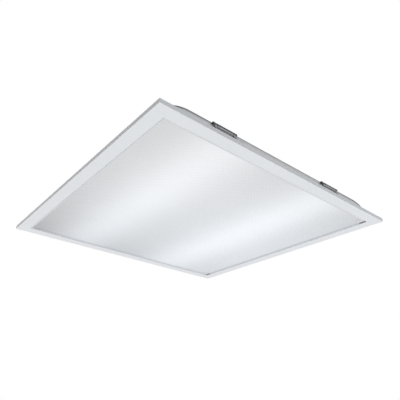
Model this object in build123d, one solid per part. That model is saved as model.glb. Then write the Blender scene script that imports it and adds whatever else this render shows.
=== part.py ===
from build123d import *
import math
import os

# Recessed ceiling light for a 600 mm grid, in millimetres.
# Origin: centre of the visible border's underside. +Z points up into the ceiling void,
# Y runs along the light strips and X runs across them.

os.makedirs("parts", exist_ok=True)

# Border frame
trim_width = 597.0          # outer size along X
trim_length = 597.0         # outer size along Y
face_width = 24.5           # visible width of the border
trim_wall = 1.2
trim_leg = 8.0              # height of the outer and inner legs
trim_return = 8.0           # lip at the top of the outer leg
trim_edge_radius = 0.6
key_leg = 34.0              # corner keys inside the border
key_width = 13.0
key_thickness = 2.0
key_inset = 6.5

# Pan and its end plates
pan_sheet = 0.8
pan_depth = 31.0            # top of the border to the top of the pan
pan_foot_inset = 8.5        # outer edge of the border to the foot of the pan
pan_shoulder_radius = 80.0
flange_inset = 2.5          # outer edge of the border to the edge of the flanges
bead_width = 12.0
bead_height = 1.2
bead_end_gap = 74.8         # end of the pan to the end of a bead
bead_spacing = 340.0
flange_relief = 2.0         # end plate's flange to the pan's skin
end_tab_width = 24.0
end_tab_depth = 11.0
end_tab_margin = 22.0       # end of the pan's flat top to the outer tabs

# Hanging holes in the pan
hanging_spacing_x = 400.0
hanging_spacing_y = 480.0
hanging_hole_radius = 2.5

# Rivets and screws
rivet_radius = 1.6
rivet_head_radius = 3.0
rivet_head = 1.0
rivet_tail_radius = 2.5
screw_radius = 1.5
screw_head_radius = 3.0
screw_head = 1.8
screw_tip = 2.0             # length that stands past what a screw holds
fixing_rows = 4             # fixings in each long row
hole_clearance = 0.1
cut_past = 1.0              # cutters and overlapping forms run this far past a face
frame_screw_inset = 5.5
side_screw_margin = 73.5    # end of the border to the first screw of a side
end_screw_margin = 58.5

# Light strips
strip_spacing = 260.0       # between the centre lines of the two strips
tray_width = 44.0
tray_channel = 28.0
tray_depth = 5.0
tray_sheet = 1.0
tray_end_gap = 16.0         # end plate to the end of a tray
tray_rivet_margin = 33.0
board_width = 24.0
board_thickness = 1.2
board_end_gap = 8.0         # end of a tray to the end of its board
package_size = 3.0
package_height = 0.7
package_pitch = 18.5
package_margin = 18.75      # end of the board to the first package, at least this far
connector_width = 9.0
connector_length = 11.0
connector_height = 4.5
connector_end = 1.5         # end of the board to the connector

# Gear cover, driver and wiring
cover_bottom_width = 60.0
cover_top_width = 100.0
cover_height = 23.0
cover_sheet = 0.8
cover_end_gap = 34.0        # end plate to the end of the cover
cover_flange = 12.0
cover_screw_margin = 25.0
gear_gaps = (25.0, 44.0, 47.0, 44.0)  # shares of the cover's free length, see below
driver_length = 280.0
driver_width = 40.0
driver_height = 20.0
driver_edge_radius = 1.5
driver_ear_length = 13.0
driver_ear_width = 22.0
driver_ear_thickness = 1.5
driver_terminal_length = 9.0
driver_terminal_width = 30.0
driver_terminal_height = 11.0
driver_terminal_drop = 4.5  # pan to the top of the driver's terminals
block_length = 18.0         # mains terminal block
block_width = 40.0
block_height = 14.0
block_screw_spacing = 30.0
stud_radius = 2.0
stud_length = 14.0
stud_x = 33.0
stud_gap = 19.0             # terminal block to the earth stud
stud_head = 1.5
nut_flats = 7.0
nut_height = 3.2
lug_sheet = 1.2             # ring and tongue on the earth wire
lug_reach = 7.0
lug_width = 2.6
lug_crimp = 1.5
wire_radius = 0.9
lead_spacing = 4.0          # between the two leads of a strip
lead_level = 8.5            # pan to the leads where they leave the driver
wire_socket = 3.0           # depth of a wire in its terminal
wire_clearance = 0.1
grommet_x = 14.0
grommet_flange = 6.0
grommet_neck = 4.6
grommet_thickness = 1.0
lead_gap = 6.5              # end plate to the nearer lead
lead_clip_run = 12.0        # end of the leads' climb or drop to the nearer clip
lead_rise = 20.0            # length of the leads' climb to the pan
lead_drop = 26.0            # length of their drop to the boards
mains_ports = (-6.0, 0.0)   # X of the driver's live and neutral ports
block_ports = (-8.0, 0.0, 8.0)
block_pocket = 3.0          # depth of the terminal block's screw pockets
block_port_radius = 1.8
lead_clip_width = 8.0
lead_clip_wall = 1.2
lead_bends = (7.0, 12.0, 16.0, 8.0)
mains_bend = 16.0
earth_bend = 5.0
earth_slack = 7.0           # sideways reach of the earth wire before it turns to the stud

# Access plate and cable gland
access_width = 92.0
access_length = 72.0
access_sheet = 1.0
access_corner = 4.0
access_margin = 12.0        # overlap of the plate round its opening
access_screw_inset = 6.0
gland_bore = 5.0            # radius of the cable's way through
gland_thread_radius = 8.0
gland_thread_length = 9.0
gland_flats = 24.0
gland_hex_height = 5.0
gland_neck_radius = 9.0
gland_neck_height = 8.0
gland_cap_gap = 0.5
gland_cap_height = 13.0
gland_cap_edge = 0.4        # flats of the cap to its turned edge
gland_cap_round = 4.0
gland_seal_height = 6.0
gland_seal_wall = 2.2
locknut_height = 4.5
locknut_flats = 22.0

# Lens door
door_gap = 1.0              # between the door and the border all round
door_recess = 1.2           # the door sits this far above the border's face
rail_sheet = 0.8
rail_web = 1.0
rail_ledge = 3.0
rail_top = 12.0
lens_thickness = 3.0
lens_clearance = 0.3
hinge_block_size = 16.0
hinge_block_height = 5.6
hinge_tongue = 14.0
pivot_inset = 6.0           # edge of the door to the pivot line
pivot_radius = 1.5
pivot_hold = 12.0           # length of the pin inside its block
running_clearance = 0.05
bush_radius = 2.5
bush_length = 3.2
bush_flange_radius = 3.5
bush_flange = 0.5
door_key_leg = 30.0
door_key_width = 9.0
door_key_thickness = 1.0

# Magnet catches
catch_spacing = 300.0
magnet_radius = 4.0
magnet_height = 3.5
magnet_inset = 6.5          # inner leg of the border to the magnet's centre
magnet_gap = 0.3
strike_thickness = 1.0
strike_width = 10.0
strike_length = 20.0
holder_length = 22.0
holder_width = 12.5
holder_cap = 3.6
holder_cheek = 1.5
holder_cheek_drop = 5.0

# Hold-down clips
clip_spacing = 291.0
clip_shift = -10.7          # middle of a pair of clips from the end plate's middle
clip_width = 49.0
clip_sheet = 1.0
leaf_height = 24.0
leaf_notch = 3.0            # hinge line to the leaf's edge under the clip's knuckle
hinge_drop = 2.4            # top of the pan down to the hinge line
knuckle_radius = 2.2
knuckle_overlap = 0.4
knuckle_width = 10.0
knuckle_gap = 0.3
hinge_pin_radius = 1.2
hinge_pin_head = 2.3
hinge_pin_head_length = 2.2
clip_bar_gap = 2.7          # hinge line to the full-width bar of the clip
clip_bar_height = 3.0
clip_finger_width = 7.0
clip_knee_drop = 2.0        # bar to the finger's bend
clip_knee_radius = 9.0
clip_toe_radius = 3.0
clip_toe_inset = 4.5        # outer edge of the border to the finger's sloping end
clip_toe_length = 2.5
clip_toe_gap = 1.0          # end plate's flange to the finger
leaf_rivet_spacing = 24.0
leaf_rivet_rise = 7.0       # lower edge of the leaf to its rivets

# Places that follow from the sizes above
half_x = trim_width / 2
half_y = trim_length / 2
opening_x = half_x - face_width
opening_y = half_y - face_width
pan_top = trim_leg + pan_depth
pan_inside = pan_top - pan_sheet
foot_x = half_x - pan_foot_inset
flat_x = foot_x - math.sqrt(pan_shoulder_radius**2 - (pan_shoulder_radius - pan_depth)**2)
plate_outer = opening_y + pan_sheet
strip_x = strip_spacing / 2
tray_bottom = pan_inside - tray_depth
board_bottom = tray_bottom - board_thickness
cover_bottom = pan_inside - cover_height
door_x = opening_x - door_gap
door_y = opening_y - door_gap
lens_bottom = door_recess + rail_sheet
lens_top = lens_bottom + lens_thickness
rail_height = lens_top + rail_sheet
pivot_x = door_x - pivot_inset
pivot_z = door_recess + hinge_block_height / 2
bush_end = opening_y + bush_length
hinge_y = plate_outer + clip_sheet + knuckle_radius - knuckle_overlap
hinge_z = pan_top - hinge_drop
clip_x = clip_spacing / 2
toe_y = half_y - clip_toe_inset
toe_z = trim_leg + pan_sheet + clip_toe_gap + clip_sheet / 2
tray_length = 2 * (opening_y - tray_end_gap)
board_length = tray_length - 2 * board_end_gap
bead_length = 2 * (plate_outer - bead_end_gap)
cover_length = 2 * (opening_y - cover_end_gap)
gear_held = driver_ear_length + driver_length + driver_terminal_length + block_length
gear_scale = (cover_length - gear_held) / sum(gear_gaps)
driver_end_gap = gear_gaps[0] * gear_scale      # end of the cover to the driver's ear
block_gap = gear_gaps[1] * gear_scale           # driver to the terminal block
access_gap = gear_gaps[2] * gear_scale          # terminal block to the centre of the access plate
driver_offset = driver_end_gap + driver_ear_length + driver_length / 2 - cover_length / 2
driver_front = driver_offset - driver_length / 2 - driver_terminal_length
driver_back = driver_offset + driver_length / 2 + driver_terminal_length
block_offset = driver_back + block_gap + block_length / 2
stud_offset = block_offset - block_length / 2 - stud_gap
access_offset = block_offset + block_length / 2 + access_gap
lead_z = pan_inside - lead_level
lead_run_z = pan_inside - pan_sheet - lead_clip_wall - wire_radius
lead_end_z = board_bottom - connector_height / 2
lead_runs = (lead_gap - opening_y, lead_gap + lead_spacing - opening_y)
lead_clip_inner = grommet_x + lead_spacing / 2 + lead_rise + lead_clip_run
lead_clip_outer = strip_x - lead_spacing / 2 - lead_drop - lead_clip_run
board_front = connector_end - board_length / 2
leaf_bottom = hinge_z - leaf_height
leaf_rivet_z = leaf_bottom + leaf_rivet_rise
far = 2 * (trim_width + trim_length)            # reach of cutters that go right through


def span(x, y, z):
    """Box between two values along each axis."""
    size = [high - low for low, high in (x, y, z)]
    middle = [(high + low) / 2 for low, high in (x, y, z)]
    return Pos(*middle) * Box(*size)


def rod(radius, start, end):
    """Round bar between two points on a line along one axis."""
    line = Vector(*end) - Vector(*start)
    plane = Plane(origin=start, z_dir=line)
    return extrude(plane * Circle(radius), line.length)


def prism(corners, along, start, length):
    """Straight bar with the given outline: (x, z) along Y, or (y, z) along X."""
    if along == "y":
        plane = Plane(origin=(0, start, 0), x_dir=(1, 0, 0), z_dir=(0, -1, 0))
        return extrude(plane * make_face(Polyline(*corners, close=True)), -length)
    plane = Plane(origin=(start, 0, 0), x_dir=(0, 1, 0), z_dir=(1, 0, 0))
    return extrude(plane * make_face(Polyline(*corners, close=True)), length)


def hexagon(flats, z, height):
    return Pos(0, 0, z) * extrude(RegularPolygon(flats / math.sqrt(3), 6), height)


def save(name, *solids):
    """Write one node, as a group when it holds several separate solids."""
    shape = solids[0] if len(solids) == 1 else Compound(children=list(solids))
    shape.label = name
    export_step(shape, f"parts/{name}.step")


def mitred_bar(corners, length, outer, radius=0.0):
    """Bar along X on the -Y side, mitred at both ends.

    The outline is given as (inward from the outer edge, height)."""
    bar = prism([(v - outer, w) for v, w in corners], "x", -length / 2, length)
    if radius:
        level = min(w for v, w in corners)
        rims = [edge for edge in bar.edges().filter_by(Axis.X) if abs(edge.center().Z - level) < 1e-4]
        bar = fillet(rims, radius)
    depth = max(v for v, w in corners) + cut_past
    low = min(w for v, w in corners) - cut_past
    high = max(w for v, w in corners) + cut_past
    outline = Polyline(
        (-length / 2, -outer),
        (length / 2, -outer),
        (length / 2 - depth, depth - outer),
        (depth - length / 2, depth - outer),
        close=True,
    )
    return bar & (Pos(0, 0, low) * extrude(make_face(outline), high - low))


def on_all_sides(corners, width, length, radius=0.0):
    """Front, right, back and left bars of a mitred frame."""
    return [
        mitred_bar(corners, width, length / 2, radius),
        Rot(0, 0, 90) * mitred_bar(corners, length, width / 2, radius),
        Rot(0, 0, 180) * mitred_bar(corners, width, length / 2, radius),
        Rot(0, 0, 270) * mitred_bar(corners, length, width / 2, radius),
    ]


def at_four_corners(shape):
    """Copies of a shape mirrored about both upright planes."""
    across = mirror(shape, Plane.YZ)
    return [shape, across, mirror(shape, Plane.XZ), mirror(across, Plane.XZ)]


def cut_all(solid, tools):
    for tool in tools:
        solid = solid - tool
    return solid


def screw_up(x, y, head_bottom, tip, head_radius=screw_head_radius):
    """Screw driven upwards, head below."""
    head = rod(head_radius, (x, y, head_bottom), (x, y, head_bottom + screw_head))
    return head + rod(screw_radius, (x, y, head_bottom), (x, y, tip))


def screw_down(x, y, seat, tip):
    """Screw driven downwards, head above its seat."""
    head = rod(screw_head_radius, (x, y, seat), (x, y, seat + screw_head))
    return head + rod(screw_radius, (x, y, tip), (x, y, seat))


def hole(x, y, radius=screw_radius + hole_clearance):
    """Upright cutter for a hole."""
    return rod(radius, (x, y, -far), (x, y, far))


def spread(reach, count=fixing_rows):
    """Evenly spaced places from -reach to +reach."""
    return [reach * (2 * number / (count - 1) - 1) for number in range(count)]


# Fixing places shared by the pieces that they join
side_screws = [
    (side * (half_x - frame_screw_inset), y)
    for side in (-1, 1)
    for y in spread(half_y - side_screw_margin)
]
end_screws = [
    (x, side * (half_y - frame_screw_inset))
    for side in (-1, 1)
    for x in spread(half_x - end_screw_margin)
]
tray_rivet_x = (tray_width + tray_channel) / 4
tray_rivets = [
    (side * strip_x + edge * tray_rivet_x, y)
    for side in (-1, 1)
    for edge in (-1, 1)
    for y in spread(tray_length / 2 - tray_rivet_margin)
]
tab_rivet_y = opening_y - end_tab_depth / 2
outer_tab = flat_x - end_tab_margin
inner_tab = (lead_clip_inner + lead_clip_outer) / 2
end_tab_places = [-outer_tab, -inner_tab, inner_tab, outer_tab]
tab_rivets = [(x, side * tab_rivet_y) for side in (-1, 1) for x in end_tab_places]
cover_screw_x = (cover_top_width + cover_flange) / 2
cover_screws = [
    (side * cover_screw_x, y)
    for side in (-1, 1)
    for y in spread(cover_length / 2 - cover_screw_margin)
]
package_count = int((board_length - 2 * package_margin) / package_pitch) + 1
package_places = spread((package_count - 1) * package_pitch / 2, package_count)
board_rivet_places = [
    (package_places[number] + package_places[number + 1]) / 2
    for number in (1, package_count // 2 - 1, package_count - 3)
]
driver_ear_y = (driver_length + driver_ear_length) / 2
driver_screws = [(0.0, driver_offset + side * driver_ear_y) for side in (-1, 1)]
block_screws = [(side * block_screw_spacing / 2, block_offset) for side in (-1, 1)]
access_screw_x = access_width / 2 - access_screw_inset
access_screw_y = access_length / 2 - access_screw_inset
access_screws = [
    (access_screw_x, access_offset + access_screw_y),
    (-access_screw_x, access_offset - access_screw_y),
]
hanging_holes = [
    (side * hanging_spacing_x / 2, end * hanging_spacing_y / 2) for side in (-1, 1) for end in (-1, 1)
]
leaf_rivets = [side * leaf_rivet_spacing / 2 for side in (-1, 1)]


# Border

def make_trims():
    corners = [
        (0, 0),
        (face_width, 0),
        (face_width, trim_leg),
        (face_width - trim_wall, trim_leg),
        (face_width - trim_wall, trim_wall),
        (trim_wall, trim_wall),
        (trim_wall, trim_leg - trim_wall),
        (trim_return, trim_leg - trim_wall),
        (trim_return, trim_leg),
        (0, trim_leg),
    ]
    bars = on_all_sides(corners, trim_width, trim_length, trim_edge_radius)
    lip = (trim_leg - trim_wall - cut_past, trim_leg + cut_past)
    cutters = [
        rod(screw_radius + hole_clearance, (x, y, lip[0]), (x, y, lip[1])) for x, y in side_screws + end_screws
    ]
    cutters += [
        rod(bush_radius, (pivot_x, side * door_y, pivot_z), (pivot_x, side * bush_end, pivot_z))
        for side in (-1, 1)
    ]
    names = ("trim_front", "trim_right", "trim_back", "trim_left")
    for name, bar in zip(names, bars):
        near = [tool for tool in cutters if (bar & tool)]
        save(name, cut_all(bar, near))


def make_corner_keys():
    """Flat L keys that lie in the border's channel across each mitre."""
    outer_x = half_x - key_inset
    outer_y = half_y - key_inset
    level = (trim_wall, trim_wall + key_thickness)
    key = span((outer_x - key_leg, outer_x), (outer_y - key_width, outer_y), level)
    key += span((outer_x - key_width, outer_x), (outer_y - key_leg, outer_y), level)
    save("trim_corner_keys", *at_four_corners(key))


# Pan

def dome(inset):
    """Cross-section under the pan's skin, lying in the XZ plane, drawn inset from its outside."""
    radius = pan_shoulder_radius - inset
    centre = pan_top - pan_shoulder_radius
    foot = flat_x + math.sqrt(radius**2 - (trim_leg - centre) ** 2)
    middle_angle = (math.pi / 2 + math.atan2(trim_leg - centre, foot - flat_x)) / 2
    middle_x = flat_x + radius * math.cos(middle_angle)
    middle_z = centre + radius * math.sin(middle_angle)
    top = pan_top - inset
    outline = [
        Line((-foot, trim_leg), (foot, trim_leg)),
        ThreePointArc((foot, trim_leg), (middle_x, middle_z), (flat_x, top)),
        Line((flat_x, top), (-flat_x, top)),
        ThreePointArc((-flat_x, top), (-middle_x, middle_z), (-foot, trim_leg)),
    ]
    return make_face(outline)


def dome_block(inset, start, end):
    """The dome's cross-section as a solid between two places along Y."""
    plane = Plane(origin=(0, start, 0), x_dir=(1, 0, 0), z_dir=(0, -1, 0))
    return extrude(plane * dome(inset), start - end)


def make_pan():
    pan = dome_block(0, -plate_outer, plate_outer) - dome_block(pan_sheet, -far, far)
    flange_z = (trim_leg, trim_leg + pan_sheet)
    for side in (-1, 1):
        edges = sorted((side * (foot_x - pan_sheet / 2), side * (half_x - flange_inset)))
        pan += span(edges, (-plate_outer, plate_outer), flange_z)
    for side in (-1, 1):
        place = Pos(side * bead_spacing / 2, 0, 0) * Rot(0, 0, 90)
        outer = SlotOverall(bead_length, bead_width)
        inner = SlotOverall(bead_length - 2 * pan_sheet, bead_width - 2 * pan_sheet)
        ridge = Pos(0, 0, pan_inside) * extrude(outer, pan_sheet + bead_height)
        ridge = fillet(ridge.faces().sort_by(Axis.Z)[-1].edges(), bead_height / 2)
        pan += place * ridge
        pan -= place * (Pos(0, 0, pan_inside - cut_past) * extrude(inner, cut_past + bead_height))
    screws = side_screws + cover_screws + driver_screws + block_screws + access_screws
    cutters = [hole(x, y) for x, y in screws]
    cutters += [hole(x, y, rivet_radius + hole_clearance) for x, y in tray_rivets + tab_rivets]
    cutters += [hole(x, y, hanging_hole_radius) for x, y in hanging_holes]
    cutters.append(hole(stud_x, stud_offset, stud_radius + hole_clearance))
    window_x = access_width / 2 - access_margin
    window_y = access_length / 2 - access_margin
    window = ((-window_x, window_x), (access_offset - window_y, access_offset + window_y))
    cutters.append(span(*window, (pan_inside - cut_past, pan_top + cut_past)))
    save("housing_pan", cut_all(pan, cutters))


def make_end_plates():
    """Upright plates that stand on the border's inner legs and close the pan's ends."""
    plate = dome_block(pan_sheet, -plate_outer, -opening_y)
    flange_x = foot_x - pan_sheet - flange_relief
    edge_y = half_y - flange_inset
    plate += span((-flange_x, flange_x), (-edge_y, -plate_outer), (trim_leg, trim_leg + pan_sheet))
    tab_z = (pan_inside - pan_sheet, pan_inside)
    for x in end_tab_places:
        plate += span(
            (x - end_tab_width / 2, x + end_tab_width / 2),
            (-opening_y, end_tab_depth - opening_y),
            tab_z,
        )
    cutters = [hole(x, y) for x, y in end_screws if y < 0]
    cutters += [hole(x, y, rivet_radius + hole_clearance) for x, y in tab_rivets if y < 0]
    for side in (-1, 1):
        for offset in leaf_rivets:
            x = clip_shift + side * clip_x + offset
            start = (x, -plate_outer - cut_past, leaf_rivet_z)
            end = (x, cut_past - opening_y, leaf_rivet_z)
            cutters.append(rod(rivet_radius + hole_clearance, start, end))
    plate = cut_all(plate, cutters)
    save("end_plate_front", plate)
    save("end_plate_back", Rot(0, 0, 180) * plate)


def rivet_up(x, y, seat, top):
    """Upright rivet: domed head under its seat, formed tail above."""
    head = rod(rivet_head_radius, (x, y, seat - rivet_head), (x, y, seat))
    head = fillet(head.faces().sort_by(Axis.Z)[0].edges(), rivet_head / 2)
    tail = rod(rivet_tail_radius, (x, y, top), (x, y, top + rivet_head))
    return head + rod(rivet_radius, (x, y, seat - rivet_head / 2), (x, y, top)) + tail


def make_frame_fixings():
    seat = trim_leg + pan_sheet
    tip = trim_leg - trim_wall - screw_tip
    save("frame_screws", *[screw_down(x, y, seat, tip) for x, y in side_screws + end_screws])
    tab_seat = pan_inside - pan_sheet
    save("end_plate_rivets", *[rivet_up(x, y, tab_seat, pan_top) for x, y in tab_rivets])


# Light strips

def make_strips():
    flange = tray_width / 2
    wall = tray_channel / 2
    profile = [
        (-flange, 0),
        (tray_sheet - wall, 0),
        (tray_sheet - wall, tray_sheet - tray_depth),
        (wall - tray_sheet, tray_sheet - tray_depth),
        (wall - tray_sheet, 0),
        (flange, 0),
        (flange, -tray_sheet),
        (wall, -tray_sheet),
        (wall, -tray_depth),
        (-wall, -tray_depth),
        (-wall, -tray_sheet),
        (-flange, -tray_sheet),
    ]
    for side, word in ((-1, "left"), (1, "right")):
        middle = side * strip_x
        tray = prism([(x + middle, z + pan_inside) for x, z in profile], "y", -tray_length / 2, tray_length)
        board = span(
            (middle - board_width / 2, middle + board_width / 2),
            (-board_length / 2, board_length / 2),
            (board_bottom, tray_bottom),
        )
        shank = [hole(middle, y, rivet_radius + hole_clearance) for y in board_rivet_places]
        tray = cut_all(tray, shank)
        tray = cut_all(tray, [hole(x, y, rivet_radius + hole_clearance) for x, y in tray_rivets])
        save(f"led_tray_{word}", tray)
        save(f"led_board_{word}", cut_all(board, shank))
        packages = []
        for y in package_places:
            packages.append(
                span(
                    (middle - package_size / 2, middle + package_size / 2),
                    (y - package_size / 2, y + package_size / 2),
                    (board_bottom - package_height, board_bottom),
                )
            )
        save(f"led_packages_{word}", *packages)
    rivets = [rivet_up(x, y, pan_inside - tray_sheet, pan_top) for x, y in tray_rivets]
    save("tray_rivets", *rivets)
    fixings = []
    for side in (-1, 1):
        for y in board_rivet_places:
            fixings.append(rivet_up(side * strip_x, y, board_bottom, tray_bottom + tray_sheet))
    save("board_rivets", *fixings)


def lead_ends(side):
    """X of the two leads where they enter one board, the outer lead first."""
    return [side * (strip_x - edge * lead_spacing / 2) for edge in (-1, 1)]


def lead_starts(side):
    """X of the two leads where they leave the driver, the inner lead first."""
    return [side * (grommet_x + edge * lead_spacing / 2) for edge in (-1, 1)]


def make_board_connectors():
    blocks = []
    for side in (-1, 1):
        block = span(
            (side * strip_x - connector_width / 2, side * strip_x + connector_width / 2),
            (board_front, board_front + connector_length),
            (board_bottom - connector_height, board_bottom),
        )
        for x in lead_ends(side):
            start = (x, board_front - cut_past, lead_end_z)
            block -= rod(wire_radius + wire_clearance, start, (x, board_front + wire_socket, lead_end_z))
        blocks.append(block)
    save("board_connectors", *blocks)


# Gear cover and driver

def make_gear_cover():
    top = cover_top_width / 2
    bottom = cover_bottom_width / 2
    slope = (top - bottom) / cover_height
    skin = cover_sheet * math.hypot(1, slope)
    outer = [(-bottom, cover_bottom), (bottom, cover_bottom), (top, pan_inside), (-top, pan_inside)]
    inner_low = bottom + slope * cover_sheet - skin
    inner_high = top - skin + slope * cut_past
    inner = [
        (-inner_low, cover_bottom + cover_sheet),
        (inner_low, cover_bottom + cover_sheet),
        (inner_high, pan_inside + cut_past),
        (-inner_high, pan_inside + cut_past),
    ]
    cover = prism(outer, "y", -cover_length / 2, cover_length)
    cover -= prism(inner, "y", cover_sheet - cover_length / 2, cover_length - 2 * cover_sheet)
    for side in (-1, 1):
        edges = sorted((side * (top - skin), side * (top + cover_flange)))
        cover += span(edges, (-cover_length / 2, cover_length / 2), (pan_inside - cover_sheet, pan_inside))
    cutters = [hole(x, y) for x, y in cover_screws]
    for side in (-1, 1):
        x = side * grommet_x
        start = (x, -cover_length / 2 - cut_past, lead_z)
        end = (x, cut_past + cover_sheet - cover_length / 2, lead_z)
        cutters.append(rod(grommet_neck, start, end))
    save("gear_cover", cut_all(cover, cutters))
    seat = pan_inside - cover_sheet - screw_head
    save("gear_cover_screws", *[screw_up(x, y, seat, pan_top + screw_tip) for x, y in cover_screws])


def make_driver():
    case = span(
        (-driver_width / 2, driver_width / 2),
        (driver_offset - driver_length / 2, driver_offset + driver_length / 2),
        (pan_inside - driver_height, pan_inside),
    )
    rims = [edge for edge in case.edges() if edge not in case.faces().sort_by(Axis.Z)[-1].edges()]
    case = fillet(rims, driver_edge_radius)
    ear_reach = driver_length / 2 + driver_ear_length
    case += span(
        (-driver_ear_width / 2, driver_ear_width / 2),
        (driver_offset - ear_reach, driver_offset + ear_reach),
        (pan_inside - driver_ear_thickness, pan_inside),
    )
    case = cut_all(case, [hole(x, y) for x, y in driver_screws])
    save("driver_case", case)
    terminal_top = pan_inside - driver_terminal_drop
    blocks = []
    for side in (-1, 1):
        inner = driver_offset + side * driver_length / 2
        block = span(
            (-driver_terminal_width / 2, driver_terminal_width / 2),
            sorted((inner, inner + side * driver_terminal_length)),
            (terminal_top - driver_terminal_height, terminal_top),
        )
        blocks.append(block)
    output, mains = blocks
    for x in lead_starts(-1) + lead_starts(1):
        start = (x, driver_front - cut_past, lead_z)
        output -= rod(wire_radius + wire_clearance, start, (x, driver_front + wire_socket, lead_z))
    for x in mains_ports:
        start = (x, driver_back - wire_socket, lead_z)
        mains -= rod(wire_radius + wire_clearance, start, (x, driver_back + cut_past, lead_z))
    save("driver_terminals", output, mains)
    seat = pan_inside - driver_ear_thickness - screw_head
    save("driver_screws", *[screw_up(x, y, seat, pan_top + screw_tip) for x, y in driver_screws])


def make_terminal_block():
    block = span(
        (-block_width / 2, block_width / 2),
        (block_offset - block_length / 2, block_offset + block_length / 2),
        (pan_inside - block_height, pan_inside),
    )
    near = block_offset - block_length / 2
    back = block_offset + block_length / 2
    middle_z = pan_inside - block_height / 2
    under = pan_inside - block_height
    for x in block_ports:
        start = (x, near - cut_past, middle_z)
        block -= rod(wire_radius + wire_clearance, start, (x, near + wire_socket, middle_z))
        start = (x, back - 2 * wire_socket, middle_z)
        block -= rod(block_port_radius, start, (x, back + cut_past, middle_z))
        start = (x, block_offset, under - cut_past)
        block -= rod(block_port_radius, start, (x, block_offset, under + block_pocket))
    block = cut_all(block, [hole(x, y) for x, y in block_screws])
    save("terminal_block", block)
    seat = pan_inside - block_height - screw_head
    save("terminal_screws", *[screw_up(x, y, seat, pan_top + screw_tip) for x, y in block_screws])


def make_earth_stud():
    """Stud riveted in the pan, with two nuts that hold the ring of the earth wire between them."""
    base = pan_inside - stud_length
    stud = rod(stud_radius, (stud_x, stud_offset, base), (stud_x, stud_offset, pan_top))
    stud += rod(2 * stud_radius, (stud_x, stud_offset, pan_top), (stud_x, stud_offset, pan_top + stud_head))
    save("earth_stud", stud)
    nuts = []
    for top in (pan_inside, pan_inside - nut_height - lug_sheet):
        nut = Pos(stud_x, stud_offset, 0) * hexagon(nut_flats, top - nut_height, nut_height)
        nuts.append(nut - hole(stud_x, stud_offset, stud_radius))
    save("earth_nuts", *nuts)


def wire(points, radii):
    """Round wire along straight runs joined by tangent arcs."""
    route = FilletPolyline(*points, radius=radii)
    start = Plane(origin=points[0], z_dir=Vector(*points[1]) - Vector(*points[0]))
    body = sweep(start * Circle(wire_radius), path=route)
    share = body.volume / (math.pi * wire_radius**2 * route.length)
    print(f"wire of {route.length:.1f} mm, bends of {radii} mm, volume over section times length {share:.4f}")
    return body


def make_mains_wires():
    """Live and neutral from the terminal block to the driver, and earth to the stud."""
    start_y = block_offset - block_length / 2
    start_z = pan_inside - block_height / 2
    third = (start_y - driver_back) / 3
    for name, x0, x1 in zip(("wire_live", "wire_neutral"), block_ports, mains_ports):
        points = [
            (x0, start_y + wire_socket, start_z),
            (x0, start_y - third, start_z),
            (x1, driver_back + third, lead_z),
            (x1, driver_back - wire_socket, lead_z),
        ]
        save(name, wire(points, [mains_bend, mains_bend]))
    x0 = block_ports[2]
    lug_z = (pan_inside - nut_height - lug_sheet, pan_inside - nut_height)
    middle_z = pan_inside - nut_height - lug_sheet / 2
    points = [
        (x0, start_y + wire_socket, start_z),
        (x0, start_y - stud_gap / 3, start_z),
        (x0 + earth_slack, stud_offset, middle_z),
        (stud_x - lug_reach + lug_crimp, stud_offset, middle_z),
    ]
    ring = rod(2 * stud_radius, (stud_x, stud_offset, lug_z[0]), (stud_x, stud_offset, lug_z[1]))
    edges = (stud_offset - lug_width / 2, stud_offset + lug_width / 2)
    ring += span((stud_x - lug_reach, stud_x), edges, lug_z)
    ring -= hole(stud_x, stud_offset, stud_radius)
    save("wire_earth", wire(points, [earth_bend, earth_bend]) + ring)


def make_leads():
    """Leads from the driver through the cover's end, along the end plate and into the boards."""
    outer_leads = []
    inner_leads = []
    for side in (-1, 1):
        starts = lead_starts(side)
        ends = lead_ends(side)
        for leads, x0, x1, run_y in zip((outer_leads, inner_leads), starts, ends, lead_runs):
            points = [
                (x0, driver_front + wire_socket, lead_z),
                (x0, run_y, lead_z),
                (x0 + side * lead_rise, run_y, lead_run_z),
                (x1 - side * lead_drop, run_y, lead_run_z),
                (x1, run_y, lead_end_z),
                (x1, board_front + wire_socket, lead_end_z),
            ]
            leads.append(wire(points, lead_bends))
    save("led_leads_positive", *outer_leads)
    save("led_leads_negative", *inner_leads)


def make_lead_fittings():
    """Grommets in the cover's end wall and clips that hold the leads under the pan."""
    wall_out = -cover_length / 2
    wall_in = wall_out + cover_sheet
    grommets = []
    for side in (-1, 1):
        x = side * grommet_x
        body = rod(grommet_neck, (x, wall_out, lead_z), (x, wall_in, lead_z))
        body += rod(grommet_flange, (x, wall_out - grommet_thickness, lead_z), (x, wall_out, lead_z))
        body += rod(grommet_flange, (x, wall_in, lead_z), (x, wall_in + grommet_thickness, lead_z))
        for lead_x in lead_starts(side):
            start = (lead_x, wall_out - 2 * grommet_thickness, lead_z)
            end = (lead_x, wall_in + 2 * grommet_thickness, lead_z)
            body -= rod(wire_radius + wire_clearance, start, end)
        grommets.append(body)
    save("lead_grommets", *grommets)
    wall = wire_radius + lead_clip_wall
    clips = []
    for side in (-1, 1):
        for place in (lead_clip_inner, lead_clip_outer):
            x = side * place
            clip = span(
                (x - lead_clip_width / 2, x + lead_clip_width / 2),
                (lead_runs[0] - wall, lead_runs[1] + wall),
                (lead_run_z - wall, pan_inside),
            )
            for run_y in lead_runs:
                start = (x - lead_clip_width, run_y, lead_run_z)
                clip -= rod(wire_radius + wire_clearance, start, (x + lead_clip_width, run_y, lead_run_z))
            clips.append(clip)
    save("lead_clips", *clips)


# Access plate and gland

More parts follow.
